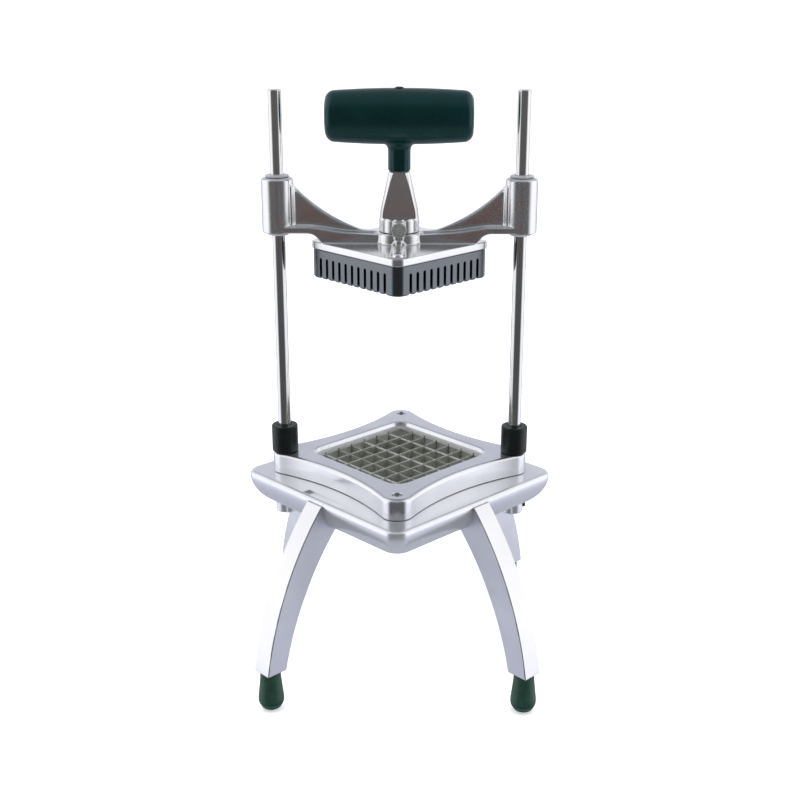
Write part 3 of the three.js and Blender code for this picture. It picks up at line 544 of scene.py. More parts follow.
def dipped_vinyl():
    """The grip's thick dark green skin: glossy, with slow waves in it."""
    look = Look("grip_vinyl", (0.002, 0.018, 0.0165), 0.0, 0.2, Specular_Tint=(0.5, 0.95, 0.95, 1))
    look.blotches(16, 3, (0.0018, 0.015, 0.0145), (0.0022, 0.02, 0.0195))
    look.roughness(look.spread(look.noise(3, 3), 0.16, 0.26))
    look.bump(look.noise(14, 1), 0.05)
    look.bump(look.noise(0.6, 2), 0.0015)
    return look.material


def moulded_plastic(name, colour, roughness, ior, sheen=(1, 1, 1)):
    """Hard moulded plastic; sheen is the colour of its reflections."""
    look = Look(name, colour, 0.0, roughness, IOR=ior, Specular_Tint=(*sheen, 1))
    look.blotches(11, 3, scaled(colour, 0.86), colour)
    look.roughness(look.spread(look.noise(1.5, 3), roughness - 0.05, roughness + 0.07))
    look.bump(look.noise(0.35, 2), 0.001)
    return look.material


def black_oxide():
    """Blackened screw steel with a mottled, half dull finish."""
    look = Look("black_steel", (0.02, 0.021, 0.023), 0.6, 0.35)
    look.blotches(1.2, 3, (0.012, 0.013, 0.014), (0.035, 0.036, 0.038))
    look.roughness(look.spread(look.noise(0.6, 2), 0.28, 0.45))
    look.bump(look.noise(0.3, 2), 0.002)
    return look.material


casting = cast_metal("cast_aluminium", (0.85, 0.855, 0.89), 0.24, 0.002, 0.8)
cover_casting = cover_metal()
head_casting = cast_metal("head_aluminium", (0.84, 0.84, 0.85), 0.2, 0.003, 0.97)
cassette_casting = cassette_metal()
cone_metal = cast_metal("cone_aluminium", (0.84, 0.83, 0.84), 0.16, 0.003, 0.96)
leg_casting = leg_metal_with_painted_shade()
rod_steel = polished_metal("rod_steel", (0.8, 0.8, 0.79), 0.1, (0.04, 0.04, 1))
screw_steel = polished_metal("fastener_steel", (0.68, 0.68, 0.67), 0.22, (1, 1, 1), 0.3)
lock_steel = hammered_steel()
# Each set's edge colour is its painted highlight; the third material's near-white edge is the strongest.
upper_blade = blade_metal("upper_blade_steel", UPPER_BLADE_TOP, (0.6, 0.61, 0.56), 0.6)
lower_blade = blade_metal("lower_blade_steel", LOWER_BLADE_TOP, (0.52, 0.53, 0.48), 0.6)
painted_highlight_blade = blade_metal("ground_blade_steel", LOWER_BLADE_TOP, (1, 1, 0.98), 1)
bumper_rubber = rubber("bumper_rubber", (0.004, 0.008, 0.0075), 0.38, 0.004)
foot_rubber = rubber("foot_rubber", (0.006, 0.055, 0.032), 0.4, 0.006)
grip_vinyl = dipped_vinyl()
pusher_tone, pusher_sheen = (0.003, 0.0045, 0.004), (0.84, 0.93, 1)
pusher_plastic = moulded_plastic("pusher_plastic", pusher_tone, 0.18, 2.5, pusher_sheen)
bushing_nylon = moulded_plastic("bushing_nylon", (0.5, 0.5, 0.56), 0.35, 1.5)
black_steel = black_oxide()


# ---------- Legs and feet ----------
def side_arc(x, z, radius, low, high, steps=40):
    """Points (distance from the centre, height) up one of a leg's side arcs."""
    levels = [low + (high - low) * i / steps for i in range(steps + 1)]
    return [(x + math.sqrt(radius**2 - (level - z) ** 2), level) for level in levels]


def leg():
    """A curved leg with a stub for the foot below and a flat tab for the bolt on top."""
    under_tab = LEG_TAB - LEG_TAB_DEPTH
    outer = side_arc(-91.7, -4.2, 226.1, LEG_BOTTOM, LEG_TOP)
    inner = side_arc(-85.7, -15.9, 206.3, LEG_BOTTOM, under_tab)
    tab = [(LEG_TAB_OUTER, LEG_TOP), (LEG_TAB_OUTER, LEG_TAB)]
    tab += [(LEG_TAB_INNER, LEG_TAB), (LEG_TAB_INNER, under_tab)]
    body = bevel(slab(outer + tab + inner[::-1], LEG_HALF_WIDTH), 0.8)
    stub = rod(4, LEG_BOTTOM - 14, LEG_BOTTOM + 1, FOOT_R)
    bolt_hole = rod(2.3, under_tab - 1, LEG_TAB + 1, LEG_BOLT_R)
    return cut(join(body, stub), bolt_hole)


def foot():
    """A bell-shaped foot: a round sole, a moulding line and a neck under the leg."""
    top = LEG_BOTTOM - GAP
    sole = rounded([(0, 0), (3.4, 0, 1), (6.6, 1.6, 3), (8.4, 4.9, 2), (8.75, 6)])
    line = [(8.45, 6.2), (8.45, 6.6), (8.88, 6.85)]
    neck = rounded([(8.9, 7), (8.9, 9.5, 6), (8.1, 16.5, 14), (7.2, 25, 6), (7.2, top, 0.7), (0, top)])
    stub_hole = rod(4.3, LEG_BOTTOM - 14 - GAP, LEG_BOTTOM + 1, FOOT_R)
    return cut(lathe(sole + line + neck, FOOT_R, 0, 80), stub_hole)


def leg_bolt():
    seat, end = LEG_TAB - LEG_TAB_DEPTH - GAP, DECK_Z - 1
    cap = [(0, seat - 4), (4.2, seat - 4, 0.9), (4.2, seat, 0.2)]
    shank = [(2, seat, 0.2), (2, end, 0.3), (0, end)]
    hexagon = rod(1.9, seat - 5, seat - 2, LEG_BOLT_R, sides=6)
    return cut(lathe(rounded(cap + shank), LEG_BOLT_R), hexagon)


def legs():
    kinds = (
        ("leg", leg, leg_casting, "leg_casting", 30),
        ("foot", foot, foot_rubber, "foot_rubber", 45),
        ("leg_bolt", leg_bolt, screw_steel, "fastener_steel", 30),
    )
    for index, corner in enumerate(("rear_right", "rear_left", "front_left", "front_right")):
        for kind, build, look, slot, crease in kinds:
            part = turn(build(), EIGHTH + index * QUARTER)
            place(part, f"{kind}_{corner}", "base", look, crease)


# ---------- Base casting ----------
def skirt_inset(depth):
    """How far the swept skirt has come in at this depth below the deck."""
    down = max(0, depth - RIM_ROUND) / SKIRT_FALL
    return SKIRT_SWEEP * (1 - math.sqrt(1 - down**2))


def skirt_loop(offset, depth):
    return square_loop(BASE_HALF - offset - skirt_inset(depth), BASE_R - offset)


def skirt(offset, depths):
    return [(skirt_loop(offset, depth), DECK_Z - depth) for depth in depths]


def deck_and_skirt():
    """The deck with its rounded rim and swept skirt, hollow underneath."""
    depths = [SKIRT_DEPTH - i * (SKIRT_DEPTH - RIM_ROUND) / 28 for i in range(29)]
    lip = [(skirt_loop(0.8, SKIRT_DEPTH), DECK_Z - SKIRT_DEPTH - 0.1)]
    rim = [
        (square_loop(BASE_HALF - RIM_ROUND + x, BASE_R - RIM_ROUND + x), DECK_Z - RIM_ROUND + z)
        for x, z in arc(0, 0, RIM_ROUND, 0, QUARTER, 10)[1:]
    ]
    body = stack(lip + skirt(0, depths) + rim)
    mouth = [(skirt_loop(BASE_WALL, SKIRT_DEPTH), DECK_Z - SKIRT_DEPTH - 1)]
    inside = [depth for depth in depths if depth > DECK_THICKNESS + 0.5]
    return cut(body, stack(mouth + skirt(BASE_WALL, inside + [DECK_THICKNESS])))


def base():
    """The deck with its chute, rod sockets, screw bosses, leg pockets and thumb recess."""
    body = deck_and_skirt()
    under = DECK_Z - DECK_THICKNESS
    chute = CHUTE_HALF + CHUTE_WALL
    tube = stack([
        (square_loop(chute - 0.5, 4.5), DECK_Z - CHUTE_DEPTH),
        (square_loop(chute, 5), DECK_Z - CHUTE_DEPTH + 0.5),
        (square_loop(chute, 5), under + 1),
    ])
    solids, holes = [tube], []
    for side in (-1, 1):
        socket = [(0, SOCKET_BOTTOM), (SOCKET_R, SOCKET_BOTTOM, 1.2), (SOCKET_R, under + 1), (0, under + 1)]
        solids.append(lathe(rounded(socket), side * ROD_X))
        screw_boss = [(0, DECK_Z - 14), (6, DECK_Z - 14, 1), (6, under + 1), (0, under + 1)]
        solids.append(lathe(rounded(screw_boss), 0, side * COVER_SCREW_Y))
        holes.append(rod(ROD_R + 0.15, SOCKET_BOTTOM + 1.5, DECK_Z + 1, side * ROD_X, sides=72))
        holes.append(rod(2.2, DECK_Z - 12, DECK_Z + 1, 0, side * COVER_SCREW_Y))
        set_hole = turn(rod(2.1, ROD_R - 0.5, SOCKET_R + 1), QUARTER, "Y")
        holes.append(shift(set_hole, side * ROD_X, 0, SET_SCREW_Z))
    join(body, *solids)

    holes.append(stack([(square_loop(CHUTE_HALF, 2), z) for z in (0, DECK_Z + 1)]))
    seat = square_loop(CASSETTE_HALF + GAP, CASSETTE_R + GAP)
    holes.append(stack([(seat, z) for z in (DECK_Z - 1.5, DECK_Z + 1)]))
    width = (-LEG_HALF_WIDTH - LEG_PLAY, LEG_HALF_WIDTH + LEG_PLAY)
    inner, outer, past_rim = LEG_TAB_INNER - GAP, LEG_TAB_OUTER - GAP, 102
    for index in range(4):
        angle = EIGHTH + index * QUARTER
        holes.append(turn(block((inner, past_rim), width, (DECK_Z - SKIRT_DEPTH - 1, under)), angle))
        holes.append(turn(block((outer, past_rim), width, (under - 1, LEG_TOP + LEG_PLAY)), angle))
        holes.append(turn(rod(2.3, under - 1, DECK_Z - 0.9, LEG_BOLT_R), angle))
    cut(body, *holes)
    cut(body, thumb_recess())
    place(body, "base_casting", "base", casting, 26)


def thumb_recess():
    """A ramp sunk in the deck beside the cover, deepest at its rear end."""
    ramp = slab(rounded([(0, 1), (0.2, -1.9, 0.2), (4, -1.8, 3), (38, -0.7, 3), (39, 1)]), 3)
    return shift(turn(ramp, -EIGHTH), -64.5, -40, DECK_Z)


# ---------- Cover, cassette and blades ----------
def cover():
    """The cover frame, with its rolled mouth and the holes for the rods and the screws."""
    rows = [(cover_loop(0.4), DECK_Z + GAP), (cover_loop(0), DECK_Z + GAP + 0.4)]
    for x, z in arc(0, 0, COVER_ROUND, 0, QUARTER, 10):
        rows.append((cover_loop(COVER_ROUND - x), COVER_TOP - COVER_ROUND + z))
    body = stack(rows)
    low, high = DECK_Z - 1, COVER_TOP + 1
    mouth = rounded([(0, low), (0, COVER_TOP - 2.8, 2), (1.5, COVER_TOP - 0.6, 2), (2.9, COVER_TOP + 0.02)])
    mouth.append((3.1, high))
    holes = [stack([(square_loop(OPENING_HALF + w, OPENING_R + w), z) for w, z in mouth])]
    pocket = square_loop(CASSETTE_HALF + GAP, CASSETTE_R + GAP)
    holes.append(stack([(pocket, low), (pocket, COVER_TOP - 5)]))
    for side in (-1, 1):
        holes.append(rod(ROD_R + 0.15, low, high, side * ROD_X, sides=72))
        bore = [(0, low), (2.3, low), (2.3, COVER_TOP - 3), (3.5, COVER_TOP - 3), (3.5, COVER_TOP - 0.3)]
        bore += [(3.9, COVER_TOP + 0.1), (3.9, high), (0, high)]
        holes.append(lathe(bore, 0, side * COVER_SCREW_Y))
    cut(body, *holes)
    place(body, "cover_frame", "base", cover_casting, 26)


def cover_screws():
    low = COVER_TOP - 2.7
    for end, y in (("front", -COVER_SCREW_Y), ("rear", COVER_SCREW_Y)):
        shank = [(0, DECK_Z - 11), (1, DECK_Z - 11), (2, DECK_Z - 10), (2, low), (3.2, low)]
        screw = lathe(shank + rounded([(3.2, low + 0.1), (3.2, low + 1.6, 0.5), (0, low + 1.6)]), 0, y)
        cut(screw, rod(1.4, low + 0.3, low + 3, 0, y, 6))
        place(screw, f"cover_screw_{end}", "base", screw_steel)


# The blades whose ground edge carries a strong, near-white painted highlight.
PAINTED_HIGHLIGHT_BLADES = ("blade_lower_1", "blade_lower_4", "blade_lower_6")


def blade(top, notch_up):
    """A strip with a ground top edge, drawn along X and notched where the other set crosses it."""
    low, shoulder = top - BLADE_HEIGHT, top - BLADE_BEVEL
    half = BLADE_THICKNESS / 2
    section = [(-half, low), (half, low), (half, shoulder), (0.15, top), (-0.15, top), (-half, shoulder)]
    strip = loft([[(x, y, z) for y, z in section] for x in (-BLADE_REACH, BLADE_REACH)])
    middle = (UPPER_BLADE_TOP + LOWER_BLADE_TOP) / 2 - BLADE_HEIGHT / 2
    span = (middle - BLADE_CLEARANCE, top + 1) if notch_up else (low - 1, middle + BLADE_CLEARANCE)
    return cut(strip, *[block((x - 0.5, x + 0.5), (-1, 1), span) for x in CROSSINGS])


def blades():
    upper, lower = blade(UPPER_BLADE_TOP, False), blade(LOWER_BLADE_TOP, True)
    turn(upper, QUARTER)
    sets = (("upper", upper, upper_blade, (1, 0)), ("lower", lower, lower_blade, (0, 1)))
    for index, offset in enumerate(CROSSINGS, 1):
        for name, strip, metal, (x, y) in sets:
            copy = bpy.data.objects.new("part", strip.data.copy())
            bpy.context.scene.collection.objects.link(copy)
            turn(shift(copy, x * offset, y * offset), -EIGHTH)
            node = f"blade_{name}_{index}"
            look = painted_highlight_blade if node in PAINTED_HIGHLIGHT_BLADES else metal
            place(copy, node, "base", look)
    bpy.data.objects.remove(upper)
    bpy.data.objects.remove(lower)


# ---------- Guide rods ----------
def rods():
    for name, side in (("left", -1), ("right", 1)):
        x = side * ROD_X
        low = SOCKET_BOTTOM + 1.8
        bar = lathe(rounded([(0, low), (ROD_R, low, 0.5), (ROD_R, ROD_TOP, 0.9), (0, ROD_TOP)]), x, 0, 96)
        place(bar, f"guide_rod_{name}", "base", rod_steel)

        low, high = COVER_TOP + GAP, COVER_TOP + GAP + BUMPER_HEIGHT
        wall = [(4.8, low), (BUMPER_R, low, 0.8), (BUMPER_R, high, 1), (4.8, high, 0.5)]
        bumper = ring(rounded(wall, closed=True), x)
        place(bumper, f"bumper_{name}", "base", bumper_rubber, 50)

        thread = [(0, 4.8), (1.5, 4.8)]
        for turns in range(6):
            thread += [(1.9, 5.15 + 0.7 * turns), (1.65, 5.5 + 0.7 * turns)]
        screw = lathe(thread + [(1.88, 9.2), (1.6, 9.6), (0, 9.6)])
        cut(screw, rod(1, 8.4, 10, sides=6))
        shift(turn(screw, QUARTER, "Y"), x, 0, SET_SCREW_Z)
        place(screw, f"rod_set_screw_{name}", "base", black_steel)


# ---------- Sliding head ----------
def between(points, x):
    """The height at x on a line of (x, height) points."""
    for (x0, z0), (x1, z1) in zip(points, points[1:]):
        if x <= x1:
            break
    return z0 + (z1 - z0) * (x - x0) / (x1 - x0)


RIB_RISE = RIB_TOP - SPLIT_Z
# The left rib's lower face, above RIB_BOTTOM, and its upper face, above SPLIT_Z.
RIB_UNDER = rounded([(-80, 0), (-58, 0, 9), (-50.5, -8.6), (-8, -8.6)])
RIB_UPPER = rounded([(-80, RIB_RISE), (-60, RIB_RISE, 30), (-37, 0.4, 60), (-8, -1.3)])


def arm_rib():
    """The left arm's flat rib, which curves down into the plate."""
    rings, half = [], RIB_HALF
    for x in range(-80, -7):
        low, high = RIB_BOTTOM + between(RIB_UNDER, x), SPLIT_Z + between(RIB_UPPER, x)
        outline = [(-half, low, 1), (half, low, 1), (half, high, 0.6), (-half, high, 0.6)]
        rings.append([(x, y, z) for y, z in rounded(outline, closed=True)])
    return loft(rings)


def arm_web():
    """The left arm's upright web: round on top, spread into the boss and the rib below it."""
    rings, fillet, boss_edge = [], 3.2, -72
    for i in range(97):
        x = -76.5 + 68.5 * i / 96
        low = SPLIT_Z + between(RIB_UPPER, x) - 1.5
        top = max(ARM_Z - math.sqrt(ARM_R**2 - (x - ARM_X) ** 2), low + 2.6)
        spread = min(fillet, max(0, fillet - (x - boss_edge)))
        half = 3 + fillet - math.sqrt(fillet**2 - spread**2)
        foot = min(1.6, (top - low) / 2)
        edge = min(2.9, half - 0.05, (top - low) / 2)
        bend = low + 1.5 + foot
        right = [(half + foot, low), (half, bend, foot), (half, top, edge)]
        left = [(-half, top, edge), (-half, bend, foot)]
        outline = rounded([(-half - foot, low)] + right + left, closed=True, steps=6)
        rings.append([(x, y, z) for y, z in outline])
    return loft(rings)


def boss(x):
    side = [(0, BOSS_BOTTOM), (BOSS_R, BOSS_BOTTOM, 0.8), (BOSS_R, BOSS_TOP - 1.2, 0.5)]
    top = [(BOSS_R - 1.8, BOSS_TOP, 0.4), (0, BOSS_TOP)]
    return lathe(rounded(side + top), x, 0, 96)


def plate_rib(side):
    """A half-round rib on the plate, from the centre ring to the front or rear corner."""
    rings = []
    for i in range(30):
        y = 12 + 43.5 * i / 29
        end = min(1.0, (56 - y) / 5)
        scale = math.sqrt(max(0.02, 1 - (1 - end) ** 2))
        circle = arc(0, 0, 4.6 * scale, 0, math.tau, 28)[:-1]
        rings.append([(px, side * y, PLATE_TOP - 0.4 + 0.8 * pz) for px, pz in circle])
    return loft(rings)


def head():
    """The plate, centre ring, arms and bosses, blended into one casting."""
    low = PLATE_TOP - PLATE_THICKNESS
    sides = rounded([(1.2, low), (0, low, 0.3), (0, PLATE_TOP, 0.6), (1.6, PLATE_TOP)])
    plate = stack([(square_loop(PLATE_HALF - w, PLATE_R - w), z) for w, z in sides])
    flare = [(0, low + 1), (20.6, low + 1), (19.8, PLATE_TOP)]
    flare += [(RING_R, PLATE_TOP, 2), (RING_R - 0.6, SPLIT_Z, 0.8), (0, SPLIT_Z)]
    lug = [(0, low + 1), (7.4, low + 1), (7.2, PLATE_TOP)]
    lug += [(5.2, PLATE_TOP, 1.8), (5.2, SPLIT_Z), (0, SPLIT_Z)]
    parts = [plate, lathe(rounded(flare), sides=96), lathe(rounded(lug), 0, -13)]
    parts += [plate_rib(-1), plate_rib(1)]
    for angle in (0, math.pi):
        parts += [turn(arm_rib(), angle), turn(arm_web(), angle)]
    parts += [boss(-ROD_X), boss(ROD_X)]
    body = fuse(parts, 0.42, 3)
    holes = [rod(TIE_HOLE_R, low - 1, SPLIT_Z + 1), rod(9.3, SPLIT_Z - 3.8, SPLIT_Z + 1), spotface()]
    for side in (-1, 1):
        holes.append(rod(6.9, BOSS_BOTTOM - 1, BOSS_TOP + 1, side * ROD_X, sides=72))
        holes.append(rod(DOWEL_HOLE_R, low - 1, low + 3.7, side * DOWEL_X))
    cut(body, *holes)
    place(body, "head_casting", "head", head_casting, 35)


def spotface():
    """Room for the lock screw's head in front of the ring and the collar."""
    return shift(turn(rod(5.5, 17.2, 20, sides=72), QUARTER, "X"), 0, 0, LOCK_Z)


def bushings():
    for name, side in (("left", -1), ("right", 1)):
        for level, flange, height in (("lower", 7.3, BOSS_BOTTOM), ("upper", 8, BOSS_TOP)):
            section = [(4.75, -1.6, 0.3), (flange, -1.6, 0.35), (flange, -GAP, 0.15)]
            section += [(6.6, -GAP), (6.6, 13), (4.75, 13)]
            bush = ring(rounded(section, closed=True))
            if level == "upper":
                turn(bush, math.pi, "X")
            shift(bush, side * ROD_X, 0, height)
            place(bush, f"bushing_{level}_{name}", "head", bushing_nylon)


# ---------- Handle ----------
def handle_cone():
    """The tapered cone on its collar, flat at the front and the rear."""
    low, spigot = SPLIT_Z + GAP, SPLIT_Z - 3.5
    profile = [(0, spigot), (9, spigot), (9, low), (COLLAR_R, low, 0.25), (COLLAR_R, COLLAR_TOP, 0.5)]
    profile += [(13.4, COLLAR_TOP, 0.2), (12.9, 334.5, 30), (CONE_TOP_R, CONE_TOP, 0.4), (0, CONE_TOP)]
    lug = [(0, low), (4.2, low), (4.2, COLLAR_TOP + 0.5, 0.5)]
    lug += [(3.15, COLLAR_TOP + 2.8, 1.2), (0, COLLAR_TOP + 4)]
    pad = [(0, low), (4.2, low), (4.2, COLLAR_TOP, 0.8), (0, COLLAR_TOP)]
    parts = [lathe(rounded(profile), sides=128), lathe(rounded(lug), 0, -10.5), lathe(rounded(pad), 0, -13)]
    body = fuse(parts, 0.3, 2)
    high = CONE_TOP + 1
    holes = [rod(TIE_HOLE_R, SPLIT_Z - 5, high), rod(CORE_BORE_R, CONE_TOP - 12.3, high), spotface()]
    holes.append(shift(turn(rod(2.3, 3, 30), QUARTER, "X"), 0, 0, LOCK_Z))
    for side in (-1, 1):
        flat = [(30, COLLAR_TOP + 1), (7, COLLAR_TOP + 1), (6, high), (30, high)]
        holes.append(loft([[(x, side * y, z) for y, z in flat] for x in (-30, 30)]))
    cut(body, *holes)
    place(body, "handle_cone", "head", cone_metal)


def grip():
    """A barrel along X that is fullest in the middle, blended into the stem below it."""
    end_round, taper = 6.5, 0.08
    straight = GRIP_HALF_LENGTH - end_round
    half = [(straight * t / 14, 1 - taper * (t / 14) ** 2) for t in range(14)]
    for t in range(13):
        angle = QUARTER * 0.985 * t / 12
        half.append((straight + end_round * math.sin(angle), 1 - taper - 0.36 * (1 - math.cos(angle))))
    stations = [(-along, scale) for along, scale in half[:0:-1]] + half
    rings = []
    for along, scale in stations:
        oval = arc(0, 0, scale, 0, math.tau, 72)[:-1]
        rings.append([(along, y * GRIP_HALF_DEPTH, GRIP_Z + z * GRIP_HALF_HEIGHT) for y, z in oval])
    under = GRIP_Z - GRIP_HALF_HEIGHT
    low = CONE_TOP + GAP
    stem = [(0, low), (STEM_R, low, 0.8), (STEM_R, under - 1.6, 5)]
    stem += [(STEM_R + 4.2, under + 2.2), (STEM_R, GRIP_Z), (0, GRIP_Z)]
    body = fuse([loft(rings), lathe(rounded(stem))], 0.5, 6)
    core = turn(rod(8.3, -38.3, 38.3), QUARTER, "Y")
    cut(body, shift(core, 0, 0, GRIP_Z), rod(CORE_BORE_R, low - 1, GRIP_Z), rod(3.9, GRIP_Z, 420))
    place(body, "grip", "head", grip_vinyl, 50)


def tie_bolt():
    low = PUSHER_TOP - 3.6
    shank = [(0, low), (3, low), (3, TIE_SEAT), (3.6, TIE_SEAT)]
    cap = [(3.6, TIE_TOP - 1.1, 0.8), (2.2, TIE_TOP, 1.6), (0, TIE_TOP)]
    place(lathe(rounded(shank + cap)), "tie_bolt", "head", black_steel, 40)


def lock_screw():
    """A flat round head with a raised rim, in front of the ring and the collar."""
    thick = 2.2
    face = [(0, 0.4), (3.7, 0.4), (4, 0.7), (4.2, 0, 0.3), (5.2, 0, 1), (5.2, thick, 0.2), (2, thick)]
    disk = lathe(rounded(face) + [(2, 14.5), (0, 14.5)], sides=96)
    shift(turn(disk, -QUARTER, "X"), 0, LOCK_SEAT - thick, LOCK_Z)
    place(disk, "handle_lock_screw", "head", lock_steel, 25)


# ---------- Pusher block ----------
def slot_tool(offset):
    """A round-topped slot along X that opens wider at the fingers' tips."""
    half, chamfer, tip = SLOT_WIDTH / 2, 0.55, FINGER_TIP
    wide = half + chamfer
    section = [(-wide, tip - 1), (wide, tip - 1), (wide, tip), (half, tip + chamfer)]
    section += arc(0, SLOT_TOP - half, half, 0, math.pi, 8)
    section += [(-half, tip + chamfer), (-wide, tip)]
    return loft([[(x, offset + y, z) for y, z in section] for x in (-60, 60)])


def pusher():
    """A block sawn into fingers both ways, with pockets for the nut and the dowels."""
    sides = rounded([(0.9, FINGER_TIP), (0, FINGER_TIP + 0.9, 0.5), (0, PUSHER_TOP, 0.7), (1.2, PUSHER_TOP)])
    body = stack([(square_loop(PUSHER_HALF - w, PUSHER_R - w, 8), z) for w, z in sides])
    tools = []
    for index in range(SLOTS):
        offset = (index - (SLOTS - 1) / 2) * CELL / 2
        tools += [turn(slot_tool(offset), EIGHTH), turn(slot_tool(offset), -EIGHTH)]
    nut = turn(rod(6.8, PUSHER_TOP - 3.9, PUSHER_TOP + 1, sides=6), -EIGHTH)
    dowels = [rod(DOWEL_HOLE_R, PUSHER_TOP - 3.7, PUSHER_TOP + 1, x) for x in (-DOWEL_X, DOWEL_X)]
    cut(body, *tools, nut, *dowels)
    place(body, "pusher_block", "head", pusher_plastic, 28)


def plain_nodes():
    """Pieces hidden inside the others keep their CAD shape and get a material."""
    looks = {"blade_cassette": cassette_casting, "handle_core": screw_steel, "pusher_nut": screw_steel}
    for name in ("left", "right"):
        looks[f"pusher_dowel_{name}"] = screw_steel
    for name, look in looks.items():
        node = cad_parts[name]
        node.data.materials.clear()
        node.data.materials.append(look)


# ---------- Camera, floor and light ----------
def camera():
    """The photo's point of view."""
    data = bpy.data.cameras.new("camera")
    data.lens = 56.843
    data.sensor_width = 36
    data.clip_start = 0.05
    data.clip_end = 100
    obj = bpy.data.objects.new("camera", data)
    bpy.context.scene.collection.objects.link(obj)
    stand = Vector((15.87, -852.4, 490.9)) * MM
    target = Vector((0.47, 0, 197.65)) * MM
    obj.location = stand
    obj.rotation_euler = (target - stand).to_track_quat("-Z", "Y").to_euler()
    bpy.context.scene.camera = obj


def floor():
    """A white sheet, measured in metres, that curves up into a wall seven metres behind the part."""
    look = Look("floor", (0.92, 0.92, 0.92), 0.0, 0.8, Specular_IOR_Level=0.1)
    look.blotches(900, 2, (0.9, 0.9, 0.9), (0.93, 0.93, 0.93))
    look.shader.inputs["Emission Color"].default_value = (1, 1, 1, 1)
    look.shader.inputs["Emission Strength"].default_value = 0.5
    bend = 3
    profile = [(-3, 0), (4, 0), *arc(4, bend, bend, -QUARTER, 0, 16)[1:], (7, 9)]
    points = [(x / MM, y / MM, z / MM) for y, z in profile for x in (-9, 9)]
    faces = [(2 * i, 2 * i + 1, 2 * i + 3, 2 * i + 2) for i in range(len(profile) - 1)]
    obj = make("floor", points, faces)
    for face in obj.data.polygons:
        face.use_smooth = True
    obj.data.materials.append(look.material)
    obj.visible_glossy = False


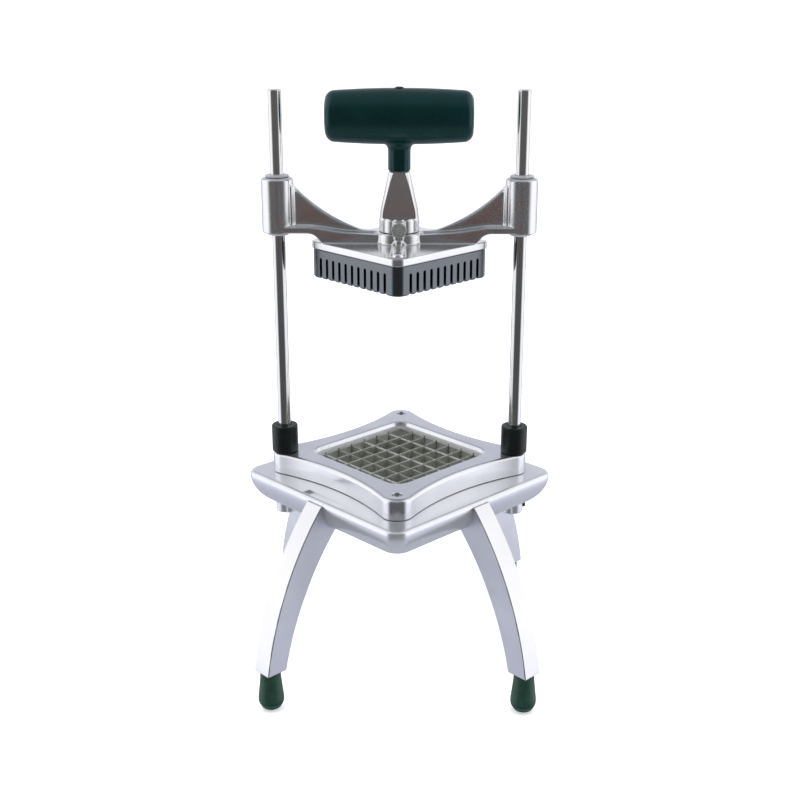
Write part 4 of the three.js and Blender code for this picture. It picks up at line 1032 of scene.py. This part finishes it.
def studio():
    """Soft light all round, with a dark room on the camera's side that the metal reflects.

    Each ramp runs from straight down at 0 to straight up at 1. The camera itself sees plain white.
    """
    world = bpy.data.worlds.new("studio")
    bpy.context.scene.world = world
    world.use_nodes = True
    tree = world.node_tree
    background = tree.nodes["Background"]

    def node(kind, *values, **settings):
        made = tree.nodes.new(kind)
        for key, value in settings.items():
            setattr(made, key, value)
        for socket, value in zip(made.inputs, values):
            if isinstance(value, bpy.types.NodeSocket):
                tree.links.new(value, socket)
            else:
                socket.default_value = value
        return made

    def ramp(value, stops):
        made = node("ShaderNodeValToRGB", value)
        made.color_ramp.interpolation = "EASE"
        while len(made.color_ramp.elements) < len(stops):
            made.color_ramp.elements.new(0.5)
        for element, (position, colour) in zip(made.color_ramp.elements, stops):
            element.position = position
            element.color = (*colour, 1)
        return made.outputs[0]

    way = node("ShaderNodeTexCoord").outputs["Generated"]
    height = node("ShaderNodeSeparateXYZ", way).outputs["Z"]
    level = node("ShaderNodeMapRange", height, -1.0, 1.0).outputs[0]
    flat = node("ShaderNodeVectorMath", way, (1, 1, 0), operation="MULTIPLY").outputs[0]
    flat = node("ShaderNodeVectorMath", flat, operation="NORMALIZE").outputs[0]
    facing = node("ShaderNodeVectorMath", flat, (0, -1, 0), operation="DOT_PRODUCT").outputs["Value"]
    floor_grey, ceiling_grey = (0.33, 0.35, 0.41), (0.4, 0.42, 0.46)
    dark = [(0.23, (0.12, 0.12, 0.13)), (0.34, (0.085, 0.09, 0.092))]
    high = [(0.5, (0.12, 0.12, 0.12)), (0.75, (0.12, 0.13, 0.13)), (1, ceiling_grey)]
    room = ramp(level, [(0, floor_grey), (0.12, floor_grey), *dark, (0.45, (0.12, 0.12, 0.12)), *high])
    warm = [(0.385, (0.09, 0.09, 0.092)), (0.405, (0.15, 0.04, 0.032)), (0.44, (0.12, 0.115, 0.115))]
    middle = ramp(level, [(0, floor_grey), (0.12, floor_grey), *dark, *warm, *high])
    lower_wall = [(0.15, (0.42, 0.44, 0.53)), (0.25, (0.52, 0.54, 0.68)), (0.31, (1.15, 1.16, 1.25))]
    upper_wall = [(0.5, (1.25, 1.25, 1.27)), (0.85, (1.1, 1.1, 1.12))]
    walls = ramp(level, [(0, floor_grey), *lower_wall, *upper_wall, (1, ceiling_grey)])
    lower_back = [(0.33, (0.45, 0.47, 0.57)), (0.47, (0.6, 0.61, 0.68)), (0.56, (0.95, 0.95, 1.0))]
    upper_back = [(0.62, (0.85, 0.86, 0.92)), (0.68, (0.56, 0.58, 0.66)), (0.8, (0.44, 0.46, 0.52))]
    back = ramp(level, [(0, floor_grey), *lower_back, *upper_back, (1, ceiling_grey)])

    def mix(factor, first, second):
        made = node("ShaderNodeMix", data_type="RGBA")
        for index, value in ((0, factor), (6, first), (7, second)):
            if isinstance(value, bpy.types.NodeSocket):
                tree.links.new(value, made.inputs[index])
            else:
                made.inputs[index].default_value = value
        return made.outputs[2]

    def blend(first, second, low, high):
        soft = node("ShaderNodeMapRange", facing, low, high, interpolation_type="SMOOTHSTEP")
        return mix(soft.outputs[0], first, second)

    light = blend(blend(back, walls, -0.85, -0.35), room, 0.25, 0.7)
    light = blend(light, middle, 0.984, 0.993)
    seen = node("ShaderNodeLightPath").outputs["Is Camera Ray"]
    light = mix(seen, light, (1, 1, 1, 1))
    tree.links.new(light, background.inputs["Color"])
    background.inputs["Strength"].default_value = 1.0


def top_light():
    """A wide soft lamp overhead that adds no reflection of its own."""
    data = bpy.data.lights.new("top_light", "AREA")
    data.shape = "RECTANGLE"
    data.size, data.size_y = 3, 3
    data.energy = 55
    obj = bpy.data.objects.new("top_light", data)
    bpy.context.scene.collection.objects.link(obj)
    stand, target = Vector((0, 0.3, 2.4)), Vector((0, 0.2, 0))
    obj.location = stand
    obj.rotation_euler = (target - stand).to_track_quat("-Z", "Y").to_euler()
    obj.visible_glossy = False


legs()
base()
cover()
cover_screws()
blades()
rods()
head()
bushings()
handle_cone()
grip()
tie_bolt()
lock_screw()
pusher()
plain_nodes()
camera()
floor()
studio()
top_light()

bpy.context.scene.view_settings.view_transform = "Standard"
